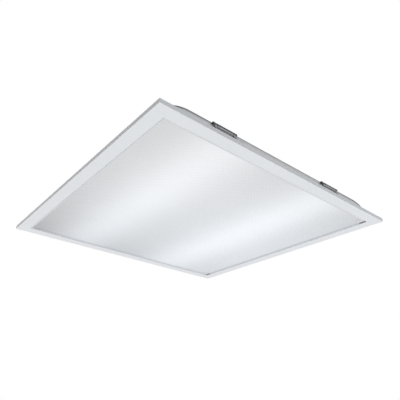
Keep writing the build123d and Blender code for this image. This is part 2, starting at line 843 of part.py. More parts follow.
def make_access_plate():
    top = pan_top + access_sheet
    plate = span(
        (-access_width / 2, access_width / 2),
        (access_offset - access_length / 2, access_offset + access_length / 2),
        (pan_top, top),
    )
    plate = fillet(plate.edges().filter_by(Axis.Z), access_corner)
    plate = cut_all(plate, [hole(x, y) for x, y in access_screws])
    plate -= hole(0, access_offset, gland_thread_radius)
    save("access_plate", plate)
    tip = pan_inside - screw_tip
    save("access_screws", *[screw_down(x, y, top, tip) for x, y in access_screws])


def make_gland():
    seat = pan_top + access_sheet
    place = Pos(0, access_offset, 0)
    neck_top = seat + gland_hex_height + gland_neck_height
    body = hexagon(gland_flats, seat, gland_hex_height)
    body += rod(gland_neck_radius, (0, 0, seat), (0, 0, neck_top))
    body += rod(gland_thread_radius, (0, 0, seat - gland_thread_length), (0, 0, seat))
    seal_base = neck_top - gland_seal_height
    seal_outer = gland_bore + gland_seal_wall
    body -= rod(gland_bore, (0, 0, -far), (0, 0, far))
    body -= rod(seal_outer, (0, 0, seal_base), (0, 0, far))
    save("gland_body", place * body)
    seal = rod(seal_outer, (0, 0, seal_base), (0, 0, neck_top)) - rod(gland_bore, (0, 0, -far), (0, 0, far))
    save("gland_seal", place * seal)
    cap_base = seat + gland_hex_height + gland_cap_gap
    cap_top = cap_base + gland_cap_height
    cap = hexagon(gland_flats, cap_base, gland_cap_height)
    crown = rod(gland_flats / 2 + gland_cap_edge, (0, 0, cap_base), (0, 0, cap_top))
    crown = fillet(crown.faces().sort_by(Axis.Z)[-1].edges(), gland_cap_round)
    cap = cap & crown
    cap -= rod(gland_neck_radius, (0, 0, cap_base), (0, 0, neck_top))
    cap -= rod(gland_bore, (0, 0, cap_base), (0, 0, far))
    save("gland_cap_nut", place * cap)
    nut_top = seat - access_sheet
    nut = hexagon(locknut_flats, nut_top - locknut_height, locknut_height)
    nut -= rod(gland_thread_radius, (0, 0, -far), (0, 0, far))
    save("gland_locknut", place * nut)


# Lens door

def hinge_block_room(end):
    """Space taken by one hinge block in the door's corner."""
    y = sorted((end * (door_y - hinge_block_size), end * door_y))
    return span((door_x - hinge_block_size, door_x), y, (door_recess, door_recess + hinge_block_height))


def make_door_rails():
    corners = [
        (0, door_recess),
        (rail_ledge, door_recess),
        (rail_ledge, lens_bottom),
        (rail_web, lens_bottom),
        (rail_web, lens_top),
        (rail_top, lens_top),
        (rail_top, rail_height),
        (0, rail_height),
    ]
    bars = on_all_sides(corners, 2 * door_x, 2 * door_y)
    names = ("lens_rail_front", "lens_rail_right", "lens_rail_back", "lens_rail_left")
    blocks = [hinge_block_room(-1), hinge_block_room(1)]
    for name, bar in zip(names, bars):
        near = [block for block in blocks if (bar & block)]
        save(name, cut_all(bar, near))


def make_lens():
    edge_x = door_x - rail_web - lens_clearance
    edge_y = door_y - rail_web - lens_clearance
    lens = span((-edge_x, edge_x), (-edge_y, edge_y), (lens_bottom, lens_top))
    for end in (-1, 1):
        notch_y = end * (door_y - hinge_block_size - lens_clearance)
        y = sorted((notch_y, end * half_y))
        notch_x = door_x - hinge_block_size - lens_clearance
        lens -= span((notch_x, half_x), y, (0, pan_top))
    save("lens", lens)


def make_hinge_blocks():
    """Corner blocks that carry the pivot pins, with tongues over both rails."""
    blocks = []
    top = door_recess + hinge_block_height
    for end in (-1, 1):
        block = hinge_block_room(end)
        inner_x = door_x - hinge_block_size
        inner_y = door_y - hinge_block_size
        block += span(
            (inner_x - hinge_tongue, inner_x),
            sorted((end * (door_y - rail_top), end * (door_y - rail_web))),
            (rail_height, top),
        )
        block += span(
            (door_x - rail_top, door_x - rail_web),
            sorted((end * (inner_y - hinge_tongue), end * inner_y)),
            (rail_height, top),
        )
        inside = end * (door_y - pivot_hold)
        block -= rod(pivot_radius, (pivot_x, inside, pivot_z), (pivot_x, end * half_y, pivot_z))
        blocks.append(block)
    save("hinge_blocks", *blocks)


def make_pivots():
    pins = []
    bushes = []
    for end in (-1, 1):
        start = (pivot_x, end * (door_y - pivot_hold), pivot_z)
        pins.append(rod(pivot_radius, start, (pivot_x, end * bush_end, pivot_z)))
        bush = rod(bush_radius, (pivot_x, end * opening_y, pivot_z), (pivot_x, end * bush_end, pivot_z))
        bush += rod(
            bush_flange_radius,
            (pivot_x, end * (opening_y - bush_flange), pivot_z),
            (pivot_x, end * opening_y, pivot_z),
        )
        bore = pivot_radius + running_clearance
        bush -= rod(bore, (pivot_x, end * door_y, pivot_z), (pivot_x, end * half_y, pivot_z))
        bushes.append(bush)
    save("pivot_pins", *pins)
    save("pivot_bushes", *bushes)


def make_door_keys():
    """Flat L plates over the two mitred corners at the door's opening side."""
    top = rail_height + door_key_thickness
    keys = []
    for end in (-1, 1):
        edge_x = rail_web - door_x
        edge_y = door_y - rail_web
        key = span(
            (edge_x, edge_x + door_key_leg),
            sorted((end * (edge_y - door_key_width), end * edge_y)),
            (rail_height, top),
        )
        key += span(
            (edge_x, edge_x + door_key_width),
            sorted((end * (edge_y - door_key_leg), end * edge_y)),
            (rail_height, top),
        )
        keys.append(key)
    save("rail_corner_keys", *keys)


def make_catches():
    """Magnets in saddles on the border's inner leg, and steel plates on the door."""
    strikes = []
    magnets = []
    holders = []
    centre_x = magnet_inset - opening_x
    strike_top = rail_height + strike_thickness
    magnet_bottom = strike_top + magnet_gap
    magnet_top = magnet_bottom + magnet_height
    for y in (-catch_spacing / 2, catch_spacing / 2):
        strikes.append(
            span(
                (centre_x - strike_width / 2, centre_x + strike_width / 2),
                (y - strike_length / 2, y + strike_length / 2),
                (rail_height, strike_top),
            )
        )
        magnets.append(rod(magnet_radius, (centre_x, y, magnet_bottom), (centre_x, y, magnet_top)))
        leg_outer = -opening_x - trim_wall
        length = (y - holder_length / 2, y + holder_length / 2)
        cap_x = (leg_outer - holder_cheek, holder_width - opening_x)
        holder = span(cap_x, length, (trim_leg, trim_leg + holder_cap))
        holder += span((cap_x[0], leg_outer), length, (trim_leg - holder_cheek_drop, trim_leg))
        holder -= rod(magnet_radius, (centre_x, y, strike_top), (centre_x, y, magnet_top))
        holders.append(holder)
    save("strike_plates", *strikes)
    save("catch_magnets", *magnets)
    save("magnet_holders", *holders)


# Hold-down clips

def knuckle(x, bore):
    """Rolled knuckle of a clip's hinge between two places along X, at the front end plate."""
    tube = rod(knuckle_radius, (x[0], -hinge_y, hinge_z), (x[1], -hinge_y, hinge_z))
    start = (x[0] - cut_past, -hinge_y, hinge_z)
    return tube - rod(bore, start, (x[1] + cut_past, -hinge_y, hinge_z))


def clip_leaf():
    """Fixed leaf, centred on x = 0 at the front end plate."""
    edge = clip_width / 2
    inner = edge - knuckle_width
    leaf_y = (-plate_outer - clip_sheet, -plate_outer)
    leaf = span((-edge, edge), leaf_y, (leaf_bottom, hinge_z - leaf_notch))
    for side in (-1, 1):
        x = sorted((side * inner, side * edge))
        ear = span(x, leaf_y, (hinge_z - leaf_notch - cut_past, hinge_z))
        ear -= rod(hinge_pin_radius, (-edge, -hinge_y, hinge_z), (edge, -hinge_y, hinge_z))
        leaf += ear + knuckle(x, hinge_pin_radius)
    for offset in leaf_rivets:
        start = (offset, cut_past - plate_outer, leaf_rivet_z)
        leaf -= rod(rivet_radius + hole_clearance, start, (offset, -hinge_y, leaf_rivet_z))
    return leaf


def clip_blade():
    """Moving clip, centred on x = 0: a knuckle, a bar and two curved fingers."""
    edge = clip_width / 2
    inner = edge - knuckle_width - knuckle_gap
    outside = -hinge_y - knuckle_radius
    bar_top = hinge_z - clip_bar_gap
    bar_y = (outside, outside + clip_sheet)
    bore = hinge_pin_radius + running_clearance
    blade = knuckle((-inner, inner), bore)
    neck = span((-inner, inner), bar_y, (bar_top - cut_past, hinge_z))
    blade += neck - rod(bore, (-edge, -hinge_y, hinge_z), (edge, -hinge_y, hinge_z))
    blade += span((-edge, edge), bar_y, (bar_top - clip_bar_height, bar_top))
    knee_z = bar_top - clip_bar_height - clip_knee_drop
    middle_y = outside + clip_sheet / 2
    for side in (-1, 1):
        x = side * (edge - clip_finger_width / 2)
        points = [
            (x, middle_y, bar_top - clip_bar_height / 2),
            (x, middle_y, knee_z),
            (x, -toe_y, toe_z),
            (x, -toe_y - clip_toe_length, toe_z),
        ]
        path = FilletPolyline(*points, radius=[clip_knee_radius, clip_toe_radius])
        start = Plane(origin=points[0], x_dir=(1, 0, 0), z_dir=(0, 0, -1))
        blade += sweep(start * Rectangle(clip_finger_width, clip_sheet), path=path)
    return blade


def make_clips():
    """Four clips: two on each end plate."""
    edge = clip_width / 2
    pin = rod(hinge_pin_radius, (-edge, -hinge_y, hinge_z), (edge, -hinge_y, hinge_z))
    for side in (-1, 1):
        start = side * edge
        end = side * (edge + hinge_pin_head_length)
        pin += rod(hinge_pin_head, (start, -hinge_y, hinge_z), (end, -hinge_y, hinge_z))
    z = leaf_rivet_z
    outer = -plate_outer - clip_sheet
    rivets = []
    for x in leaf_rivets:
        rivet = rod(rivet_radius, (x, outer, z), (x, -opening_y, z))
        rivet += rod(rivet_head_radius, (x, outer - rivet_head, z), (x, outer, z))
        rivet += rod(rivet_tail_radius, (x, -opening_y, z), (x, rivet_head - opening_y, z))
        rivets.append(rivet)
    leaf = clip_leaf()
    blade = clip_blade()
    centres = (clip_shift - clip_x, clip_shift + clip_x)
    places = [Rot(0, 0, turn) * Pos(x, 0, 0) for turn in (0, 180) for x in centres]
    save("clip_hinge_leaves", *[place * leaf for place in places])
    save("clip_hinge_pins", *[place * pin for place in places])
    save("clip_leaf_rivets", *[place * rivet for place in places for rivet in rivets])
    names = ("hold_down_clip_1", "hold_down_clip_2", "hold_down_clip_3", "hold_down_clip_4")
    for name, place in zip(names, places):
        save(name, place * blade)


make_trims()
make_corner_keys()
make_pan()
make_end_plates()
make_frame_fixings()
make_strips()
make_board_connectors()
make_gear_cover()
make_driver()
make_terminal_block()
make_earth_stud()
make_mains_wires()
make_leads()
make_lead_fittings()
make_access_plate()
make_gland()
make_door_rails()
make_lens()
make_hinge_blocks()
make_pivots()
make_door_keys()
make_catches()
make_clips()
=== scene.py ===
import math

import bmesh
import bpy
from mathutils import Matrix, Vector


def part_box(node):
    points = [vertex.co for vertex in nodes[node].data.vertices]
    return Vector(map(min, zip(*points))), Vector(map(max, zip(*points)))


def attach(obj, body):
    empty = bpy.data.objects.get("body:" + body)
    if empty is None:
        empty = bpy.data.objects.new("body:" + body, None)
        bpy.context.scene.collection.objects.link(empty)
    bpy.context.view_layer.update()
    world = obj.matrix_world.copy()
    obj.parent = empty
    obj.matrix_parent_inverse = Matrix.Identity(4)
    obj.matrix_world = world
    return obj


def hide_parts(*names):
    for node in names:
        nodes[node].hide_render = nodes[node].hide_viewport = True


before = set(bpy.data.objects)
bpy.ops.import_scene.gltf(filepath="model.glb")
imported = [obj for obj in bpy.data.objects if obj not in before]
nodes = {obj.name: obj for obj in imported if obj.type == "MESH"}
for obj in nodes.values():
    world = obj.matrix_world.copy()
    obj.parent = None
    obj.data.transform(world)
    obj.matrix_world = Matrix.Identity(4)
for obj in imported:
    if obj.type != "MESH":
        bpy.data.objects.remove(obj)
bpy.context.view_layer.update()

mm = 0.001
print("frame loaded:", len(nodes), "nodes")


# Small helpers for node trees

def put(tree, socket, value):
    if isinstance(value, bpy.types.NodeSocket):
        tree.links.new(value, socket)
    elif value is not None:
        socket.default_value = value


def maths(tree, operation, *values, clamp=False):
    node = tree.nodes.new("ShaderNodeMath")
    node.operation = operation
    node.use_clamp = clamp
    for socket, value in zip(node.inputs, values):
        put(tree, socket, value)
    return node.outputs[0]


def plus(tree, first, second, clamp=False):
    return maths(tree, "ADD", first, second, clamp=clamp)


def minus(tree, first, second, clamp=False):
    return maths(tree, "SUBTRACT", first, second, clamp=clamp)


def times(tree, first, second, clamp=False):
    return maths(tree, "MULTIPLY", first, second, clamp=clamp)


def magnitude(tree, value):
    return maths(tree, "ABSOLUTE", value)


def swing(tree, value, amount):  # a value from 0 to 1 becomes a change to either side of zero
    return times(tree, minus(tree, value, 0.5), amount)


def vectorMaths(tree, operation, *values):
    node = tree.nodes.new("ShaderNodeVectorMath")
    node.operation = operation
    for socket, value in zip(node.inputs, values):
        put(tree, socket, value)
    return node.outputs["Value" if operation == "DOT_PRODUCT" else "Vector"]


def scaled(tree, vector, amount):
    node = tree.nodes.new("ShaderNodeVectorMath")
    node.operation = "SCALE"
    put(tree, node.inputs[0], vector)
    put(tree, node.inputs["Scale"], amount)
    return node.outputs["Vector"]


def splitAxes(tree, vector):
    node = tree.nodes.new("ShaderNodeSeparateXYZ")
    put(tree, node.inputs[0], vector)
    return node.outputs


def mixColour(tree, factor, first, second):
    node = tree.nodes.new("ShaderNodeMix")
    node.data_type = "RGBA"
    put(tree, node.inputs[0], factor)
    put(tree, node.inputs[6], first)
    put(tree, node.inputs[7], second)
    return node.outputs[2]


def ramp(tree, value, low, high, start=0.0, end=1.0):
    node = tree.nodes.new("ShaderNodeMapRange")
    labels = ("Value", "From Min", "From Max", "To Min", "To Max")
    for label, item in zip(labels, (value, low, high, start, end)):
        put(tree, node.inputs[label], item)
    return node.outputs[0]


def noise(tree, place, scale, detail=3.0, distortion=0.0):
    node = tree.nodes.new("ShaderNodeTexNoise")
    put(tree, node.inputs["Vector"], place)
    put(tree, node.inputs["Scale"], scale)
    node.inputs["Detail"].default_value = detail
    node.inputs["Distortion"].default_value = distortion
    return node.outputs[0]


def newGroup(name, takes, gives):
    tree = bpy.data.node_groups.new(name, "ShaderNodeTree")
    for label, kind, value in takes:
        socket = tree.interface.new_socket(name=label, in_out="INPUT", socket_type=kind)
        if value is not None:
            socket.default_value = value
    for label, kind in gives:
        tree.interface.new_socket(name=label, in_out="OUTPUT", socket_type=kind)
    start = tree.nodes.new("NodeGroupInput").outputs
    end = tree.nodes.new("NodeGroupOutput").inputs
    return tree, start, end


def useGroup(tree, group, **values):
    node = tree.nodes.new("ShaderNodeGroup")
    node.node_tree = group
    for label, value in values.items():
        put(tree, node.inputs[label], value)
    return node.outputs


# Shared effects, each built once

mottleShape = {"detail": 4.0, "distortion": 0.3, "range": (0.35, 0.68), "grainDetail": 2.0}


def buildMottle(shape):  # soft patches of a second colour, uneven gloss and a fine relief
    tree, start, end = newGroup(
        "mottle",
        [("Place", "NodeSocketVector", None), ("Colour", "NodeSocketColor", (1, 1, 1, 1)),
         ("Second", "NodeSocketColor", (0.8, 0.8, 0.8, 1)), ("Patches", "NodeSocketFloat", 20.0),
         ("Grain", "NodeSocketFloat", 600.0), ("Roughness", "NodeSocketFloat", 0.4),
         ("Unevenness", "NodeSocketFloat", 0.1)],
        [("Colour", "NodeSocketColor"), ("Roughness", "NodeSocketFloat"), ("Height", "NodeSocketFloat")],
    )
    patches = noise(tree, start["Place"], start["Patches"], shape["detail"], shape["distortion"])
    fine = noise(tree, start["Place"], start["Grain"], shape["grainDetail"])
    amount = ramp(tree, patches, *shape["range"])
    put(tree, end["Colour"], mixColour(tree, amount, start["Colour"], start["Second"]))
    change = plus(tree, swing(tree, patches, start["Unevenness"]), swing(tree, fine, start["Unevenness"]))
    put(tree, end["Roughness"], plus(tree, start["Roughness"], change, clamp=True))
    put(tree, end["Height"], fine)
    return tree


spangleShape = {"wobble": 320.0, "shift": 0.004, "feather": 700.0, "toneShare": 0.7, "reliefShare": 0.6}


def buildSpangle(shape):  # zinc crystals: cells of slightly different tone and height, feathered
    tree, start, end = newGroup(
        "spangle",
        [("Place", "NodeSocketVector", None), ("Size", "NodeSocketFloat", 90.0)],
        [("Tone", "NodeSocketFloat"), ("Height", "NodeSocketFloat")],
    )
    wobble = tree.nodes.new("ShaderNodeTexNoise")
    put(tree, wobble.inputs["Vector"], start["Place"])
    wobble.inputs["Scale"].default_value = shape["wobble"]
    moved = scaled(tree, wobble.outputs["Color"], shape["shift"])
    place = vectorMaths(tree, "ADD", start["Place"], moved)
    cells = tree.nodes.new("ShaderNodeTexVoronoi")
    put(tree, cells.inputs["Vector"], place)
    put(tree, cells.inputs["Scale"], start["Size"])
    tone = splitAxes(tree, cells.outputs["Color"])[0]
    feather = noise(tree, place, shape["feather"], distortion=1.0)
    share = shape["toneShare"]
    put(tree, end["Tone"], plus(tree, times(tree, tone, share), times(tree, feather, 1.0 - share)))
    put(tree, end["Height"], plus(tree, times(tree, tone, shape["reliefShare"]), feather))
    return tree


strokesShape = {"detail": 4.0, "finer": 3.7, "fineDetail": 2.0}


def buildStrokes(shape):  # long fine lines left by rolling, drawing or brushing
    tree, start, end = newGroup(
        "strokes",
        [("Place", "NodeSocketVector", None), ("Stretch", "NodeSocketVector", (1, 1, 1)),
         ("Fineness", "NodeSocketFloat", 400.0)],
        [("Line", "NodeSocketFloat")],
    )
    place = vectorMaths(tree, "MULTIPLY", start["Place"], start["Stretch"])
    coarse = noise(tree, place, start["Fineness"], shape["detail"])
    fine = noise(tree, place, times(tree, start["Fineness"], shape["finer"]), shape["fineDetail"])
    put(tree, end["Line"], times(tree, plus(tree, coarse, fine), 0.5))
    return tree


edgeWearAndLightBreakup = {"scale": 260.0, "detail": 4.0, "range": (0.38, 0.6)}


def buildEdgeWearAndPaintedLight(shape):  # another colour on the edges that the mesh attribute marks, broken up by noise: rubbed bare on most finishes, a painted highlight on the white coats, painted shade on the spring steel
    tree, start, end = newGroup(
        "edgeWearAndPaintedLight",
        [("Place", "NodeSocketVector", None), ("Worn", "NodeSocketFloat", 0.0),
         ("Colour", "NodeSocketColor", (1, 1, 1, 1)), ("Bare", "NodeSocketColor", (0.5, 0.5, 0.5, 1)),
         ("Amount", "NodeSocketFloat", 0.5)],
        [("Colour", "NodeSocketColor"), ("Mask", "NodeSocketFloat")],
    )
    broken = ramp(tree, noise(tree, start["Place"], shape["scale"], shape["detail"]), *shape["range"])
    mask = times(tree, times(tree, start["Worn"], broken), start["Amount"], clamp=True)
    put(tree, end["Colour"], mixColour(tree, mask, start["Colour"], start["Bare"]))
    put(tree, end["Mask"], mask)
    return tree


dustShape = {"upFrom": 0.5, "scale": 9.0, "detail": 6.0, "range": (0.3, 0.75)}


def buildDust(shape):  # thin settled dust, on faces that look up
    tree, start, end = newGroup(
        "dust",
        [("Place", "NodeSocketVector", None), ("Facing", "NodeSocketVector", None),
         ("Amount", "NodeSocketFloat", 0.2)],
        [("Mask", "NodeSocketFloat")],
    )
    upward = ramp(tree, splitAxes(tree, start["Facing"])[2], shape["upFrom"], 1.0)
    patches = ramp(tree, noise(tree, start["Place"], shape["scale"], shape["detail"]), *shape["range"])
    put(tree, end["Mask"], times(tree, times(tree, upward, patches), start["Amount"]))
    return tree


mottle = buildMottle(mottleShape)
spangle = buildSpangle(spangleShape)
strokes = buildStrokes(strokesShape)
edgeWearAndPaintedLight = buildEdgeWearAndPaintedLight(edgeWearAndLightBreakup)
dust = buildDust(dustShape)


# Steps that several finishes share

def startFinish(name, look):
    finish = bpy.data.materials.new(name)
    finish.use_nodes = True
    tree = finish.node_tree
    shader = tree.nodes["Principled BSDF"]
    for label, value in look["shader"].items():
        shader.inputs[label].default_value = value
    where = tree.nodes.new("ShaderNodeTexCoord").outputs
    base = useGroup(tree, mottle, Place=where["Object"], Colour=look["colour"], Second=look["second"],
                    Patches=look["patches"], Grain=look["grain"], Roughness=look["roughness"],
                    Unevenness=look["unevenness"])
    return finish, tree, shader, where, base


def endFinish(tree, shader, colour, roughness, height, relief):
    put(tree, shader.inputs["Base Color"], colour)
    put(tree, shader.inputs["Roughness"], roughness)
    bump = tree.nodes.new("ShaderNodeBump")
    bump.inputs["Strength"].default_value = 1.0
    bump.inputs["Distance"].default_value = relief
    put(tree, bump.inputs["Height"], height)
    put(tree, shader.inputs["Normal"], bump.outputs[0])


def drawLines(tree, where, look):
    group = useGroup(tree, strokes, Place=where["Object"], Stretch=look["stretch"], Fineness=look["fineness"])
    return group["Line"]


# edge colour through the mesh attribute: rubbed bare on most finishes, a painted highlight on the white
# coats, painted shade on the spring steel
def paintEdgeWearAndLight(tree, where, look, colour):
    mark = tree.nodes.new("ShaderNodeAttribute")
    mark.attribute_name = "wearAndLightMark"
    return useGroup(tree, edgeWearAndPaintedLight, Place=where["Object"], Worn=mark.outputs["Fac"], Colour=colour,
                    Bare=look["edgeWearAndLight"], Amount=look["edgeWearAndLightAmount"])


def addDust(tree, where, look, colour):
    film = useGroup(tree, dust, Place=where["Object"], Facing=where["Normal"], Amount=look["dust"])
    return mixColour(tree, film["Mask"], colour, look["dustColour"])


# Enamel: sprayed or stoved coat with a fine relief, a painted highlight along its broken edges and dust on
# top

def enamel(name, look):
    finish, tree, shader, where, base = startFinish(name, look)
    wearAndLightMark = paintEdgeWearAndLight(tree, where, look, base["Colour"])
    colour = addDust(tree, where, look, wearAndLightMark["Colour"])
    endFinish(tree, shader, colour, base["Roughness"], base["Height"], look["relief"])
    return finish


# painted highlight: the broken edges of the white coats turn whiter than the coat
borderCoat = {
    "colour": (0.835, 0.858, 0.89, 1), "second": (0.82, 0.843, 0.875, 1), "edgeWearAndLight": (0.95, 0.96, 0.97, 1),
    "patches": 7.0, "grain": 900.0, "roughness": 0.42, "unevenness": 0.08, "relief": 0.00001, "edgeWearAndLightAmount": 0.6,
    "dust": 0.12, "dustColour": (0.42, 0.41, 0.38, 1), "shader": {"Coat Weight": 0.08, "Coat Roughness": 0.3},
}
railCoat = dict(borderCoat, colour=(0.76, 0.78, 0.81, 1), second=(0.7, 0.72, 0.75, 1), roughness=0.5)
gearCoat = dict(borderCoat, colour=(0.82, 0.82, 0.8, 1), second=(0.76, 0.76, 0.74, 1), roughness=0.35,
                grain=700.0, relief=0.0001)

borderFinish = enamel("borderCoat", borderCoat)
railFinish = enamel("railCoat", railCoat)
gearFinish = enamel("gearCoverCoat", gearCoat)


# Galvanised sheet, painted white on the faces that look into the light chamber

def shadeTop(tree, axes, shade, colour):  # painted shade along the upper edge
    amount = times(tree, ramp(tree, axes["Z"], *shade["range"]), shade["strength"])
    return mixColour(tree, amount, colour, shade["colour"])


def shadeRim(tree, axes, rim, colour):  # painted shadow just under the pan's arched edge, most at its shoulders
    across = magnitude(tree, axes["X"])
    fromSide = maths(tree, "MAXIMUM", minus(tree, across, rim["flat"]), 0.0)
    fall = maths(tree, "SQRT", minus(tree, rim["bend"] ** 2, times(tree, fromSide, fromSide)))
    level = plus(tree, fall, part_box("housing_pan")[1].z - rim["bend"])
    near = ramp(tree, minus(tree, level, axes["Z"]), rim["reach"], rim["full"])
    strength = ramp(tree, across, *rim["fades"], rim["middle"], rim["shoulder"])
    return mixColour(tree, times(tree, near, strength), colour, rim["colour"])


def findInside(tree, axes, facing, look):  # 1 on faces that look down, or along Y to the middle
    inward = maths(tree, "LESS_THAN", times(tree, axes["Y"], facing["Y"]), look["inward"])
    under = maths(tree, "LESS_THAN", facing["Z"], look["under"])
    return maths(tree, "MAXIMUM", inward, under)


def zincSheet(name, look):
    finish, tree, shader, where, base = startFinish(name, look)
    cells = useGroup(tree, spangle, Place=where["Object"], Size=look["spangle"])
    line = drawLines(tree, where, look)
    share = look["cellShare"]
    tone = plus(tree, times(tree, cells["Tone"], share), times(tree, line, 1.0 - share))
    colour = mixColour(tree, ramp(tree, tone, *look["toneRange"]), base["Colour"], look["bright"])
    colour = addDust(tree, where, look, colour)
    axes = splitAxes(tree, where["Object"])
    if look["topShade"]:
        colour = shadeTop(tree, axes, look["topShade"], colour)
    if look["rim"]:
        colour = shadeRim(tree, axes, look["rim"], colour)
    if look["paint"]:
        inside = findInside(tree, axes, splitAxes(tree, where["Normal"]), look)
        colour = mixColour(tree, inside, colour, look["paint"])
        put(tree, shader.inputs["Metallic"], ramp(tree, inside, 0.0, 1.0, look["metal"], 0.0))
    else:
        shader.inputs["Metallic"].default_value = look["metal"]
    rough = plus(tree, base["Roughness"], swing(tree, tone, look["glossSwing"]), clamp=True)
    endFinish(tree, shader, colour, rough, cells["Height"], look["relief"])
    return finish


zincLook = {
    "colour": (0.36, 0.365, 0.375, 1), "second": (0.32, 0.325, 0.335, 1), "bright": (0.49, 0.50, 0.515, 1),
    "paint": (0.8, 0.8, 0.79, 1), "inward": -0.05, "under": -0.02, "patches": 5.0, "grain": 500.0,
    "roughness": 0.46, "unevenness": 0.15, "glossSwing": 0.22, "spangle": 130.0, "cellShare": 0.75,
    "toneRange": (-0.1, 1.1), "stretch": (1.0, 14.0, 14.0), "fineness": 300.0, "metal": 0.55,
    "relief": 0.00004, "dust": 0.25, "dustColour": (0.36, 0.35, 0.32, 1), "topShade": None, "rim": None,
    "shader": {},
}
# painted shadow under the pan's arched edge, on the end plates
rimShade = {
    "flat": 0.2268, "bend": 0.08, "reach": 0.006, "full": 0.0024, "fades": (0.1, 0.25), "middle": 0.45,
    "shoulder": 1.0, "colour": (0.03, 0.03, 0.035, 1),
}
# painted light: the end plates use the pan's zinc made much lighter and less metallic
endZincLook = dict(zincLook, colour=(0.68, 0.687, 0.7, 1), second=(0.65, 0.657, 0.67, 1),
                   bright=(0.75, 0.76, 0.78, 1), metal=0.25, stretch=(1.0, 14.0, 30.0), relief=0.00001,
                   rim=rimShade)
plateZincLook = dict(zincLook, paint=None, spangle=70.0)
# painted shade along the top edge of the leaves, at their knuckles
leafShade = {"range": (0.0343, 0.0347), "strength": 0.9, "colour": (0.06, 0.06, 0.065, 1)}
# painted light: the leaves use the zinc made much lighter and less metallic, so the pocket behind each clip
# reads less dark
leafLook = dict(zincLook, colour=(0.76, 0.765, 0.775, 1), bright=(0.9, 0.905, 0.915, 1), paint=None,
                spangle=150.0, metal=0.1, dust=0.1, topShade=leafShade)

panFinish = zincSheet("panZinc", zincLook)
endPlateFinish = zincSheet("endPlateZinc", endZincLook)
accessPlateFinish = zincSheet("accessPlateZinc", plateZincLook)
leafFinish = zincSheet("leafSteel", leafLook)


# Rolled, turned or drawn metal with fine lines

def drawnMetal(name, look):
    finish, tree, shader, where, base = startFinish(name, look)
    line = drawLines(tree, where, look)
    colour = mixColour(tree, ramp(tree, line, *look["lineRange"]), base["Colour"], look["bright"])
    wearAndLightMark = paintEdgeWearAndLight(tree, where, look, colour)
    rough = plus(tree, base["Roughness"], swing(tree, line, look["glossSwing"]), clamp=True)
    rough = minus(tree, rough, times(tree, wearAndLightMark["Mask"], look["polish"]), clamp=True)
    endFinish(tree, shader, wearAndLightMark["Colour"], rough, line, look["relief"])
    return finish


aluminiumLook = {
    "colour": (0.60, 0.61, 0.62, 1), "second": (0.52, 0.53, 0.54, 1), "bright": (0.78, 0.79, 0.80, 1),
    "edgeWearAndLight": (0.86, 0.86, 0.87, 1), "patches": 18.0, "grain": 500.0, "roughness": 0.36, "unevenness": 0.1,
    "stretch": (1.0, 0.03, 1.0), "fineness": 900.0, "lineRange": (0.36, 0.66), "glossSwing": 0.5,
    "edgeWearAndLightAmount": 0.5, "polish": 0.12, "relief": 0.00003, "shader": {"Metallic": 0.85},
}
zincPlated = dict(aluminiumLook, colour=(0.5, 0.5, 0.5, 1), second=(0.42, 0.43, 0.45, 1),
                  stretch=(1.0, 1.0, 0.2), roughness=0.3, shader={"Metallic": 0.9})
shellLook = dict(aluminiumLook, colour=(0.62, 0.62, 0.6, 1), second=(0.55, 0.55, 0.54, 1),
                 stretch=(0.1, 1.0, 1.0), fineness=500.0, roughness=0.42, shader={"Metallic": 0.6})
nickelLook = dict(aluminiumLook, colour=(0.62, 0.6, 0.56, 1), second=(0.55, 0.53, 0.5, 1), roughness=0.16,
                  stretch=(1.0, 1.0, 1.0), fineness=300.0, shader={"Metallic": 1.0})
brassLook = dict(nickelLook, colour=(0.62, 0.44, 0.18, 1), second=(0.52, 0.36, 0.14, 1),
                 bright=(0.7, 0.5, 0.22, 1), edgeWearAndLight=(0.8, 0.62, 0.32, 1), roughness=0.3, relief=0.000006)

trayFinish = drawnMetal("trayAluminium", aluminiumLook)
screwFinish = drawnMetal("screwZinc", zincPlated)
driverFinish = drawnMetal("driverShell", shellLook)
magnetFinish = drawnMetal("magnetNickel", nickelLook)
brassFinish = drawnMetal("earthBrass", brassLook)


# Spring steel: drawn strip with painted shade at its rolled knuckle, along its fingers and on its cut edges

def findFingerRims(tree, axes, look):  # 1 along both sides of each finger, where painted shade goes, found from the clips' boxes
    low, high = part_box("hold_down_clip_1")
    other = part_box("hold_down_clip_2")
    first, second = (low.x + high.x) / 2, (other[0].x + other[1].x) / 2
    onFront = times(tree, axes["X"], times(tree, maths(tree, "SIGN", axes["Y"]), -1.0))
    fromPair = magnitude(tree, minus(tree, onFront, (first + second) / 2))
    fromClip = magnitude(tree, minus(tree, fromPair, abs(first - second) / 2))
    fromFinger = magnitude(tree, minus(tree, fromClip, (high.x - low.x) / 2 - look["fingerHalf"]))
    return times(tree, maths(tree, "GREATER_THAN", fromFinger, look["clearStrip"]),
                 maths(tree, "LESS_THAN", fromFinger, look["fingerHalf"] + look["fingerSlack"]))


def springSteel(name, look):
    finish, tree, shader, where, base = startFinish(name, look)
    line = drawLines(tree, where, look)
    strip = mixColour(tree, ramp(tree, line, *look["lineRange"]), base["Colour"], look["bright"])
    axes = splitAxes(tree, where["Object"])
    # painted shade: blue-black above the knuckle's lower edge, streaked along the lines
    high = ramp(tree, axes["Z"], *look["paintedShadeFrom"])
    knuckleShade = plus(tree, high, swing(tree, line, look["paintedShadeSwing"]), clamp=True)
    colour = mixColour(tree, times(tree, knuckleShade, high), strip, look["paintedShade"])
    # painted shade along both sides of each finger
    rim = findFingerRims(tree, axes, look)
    colour = mixColour(tree, times(tree, rim, look["rimStrength"]), colour, look["paintedShade"])
    wearAndLightMark = paintEdgeWearAndLight(tree, where, look, colour)
    rough = plus(tree, base["Roughness"], swing(tree, line, look["glossSwing"]), clamp=True)
    endFinish(tree, shader, wearAndLightMark["Colour"], rough, line, look["relief"])
    return finish


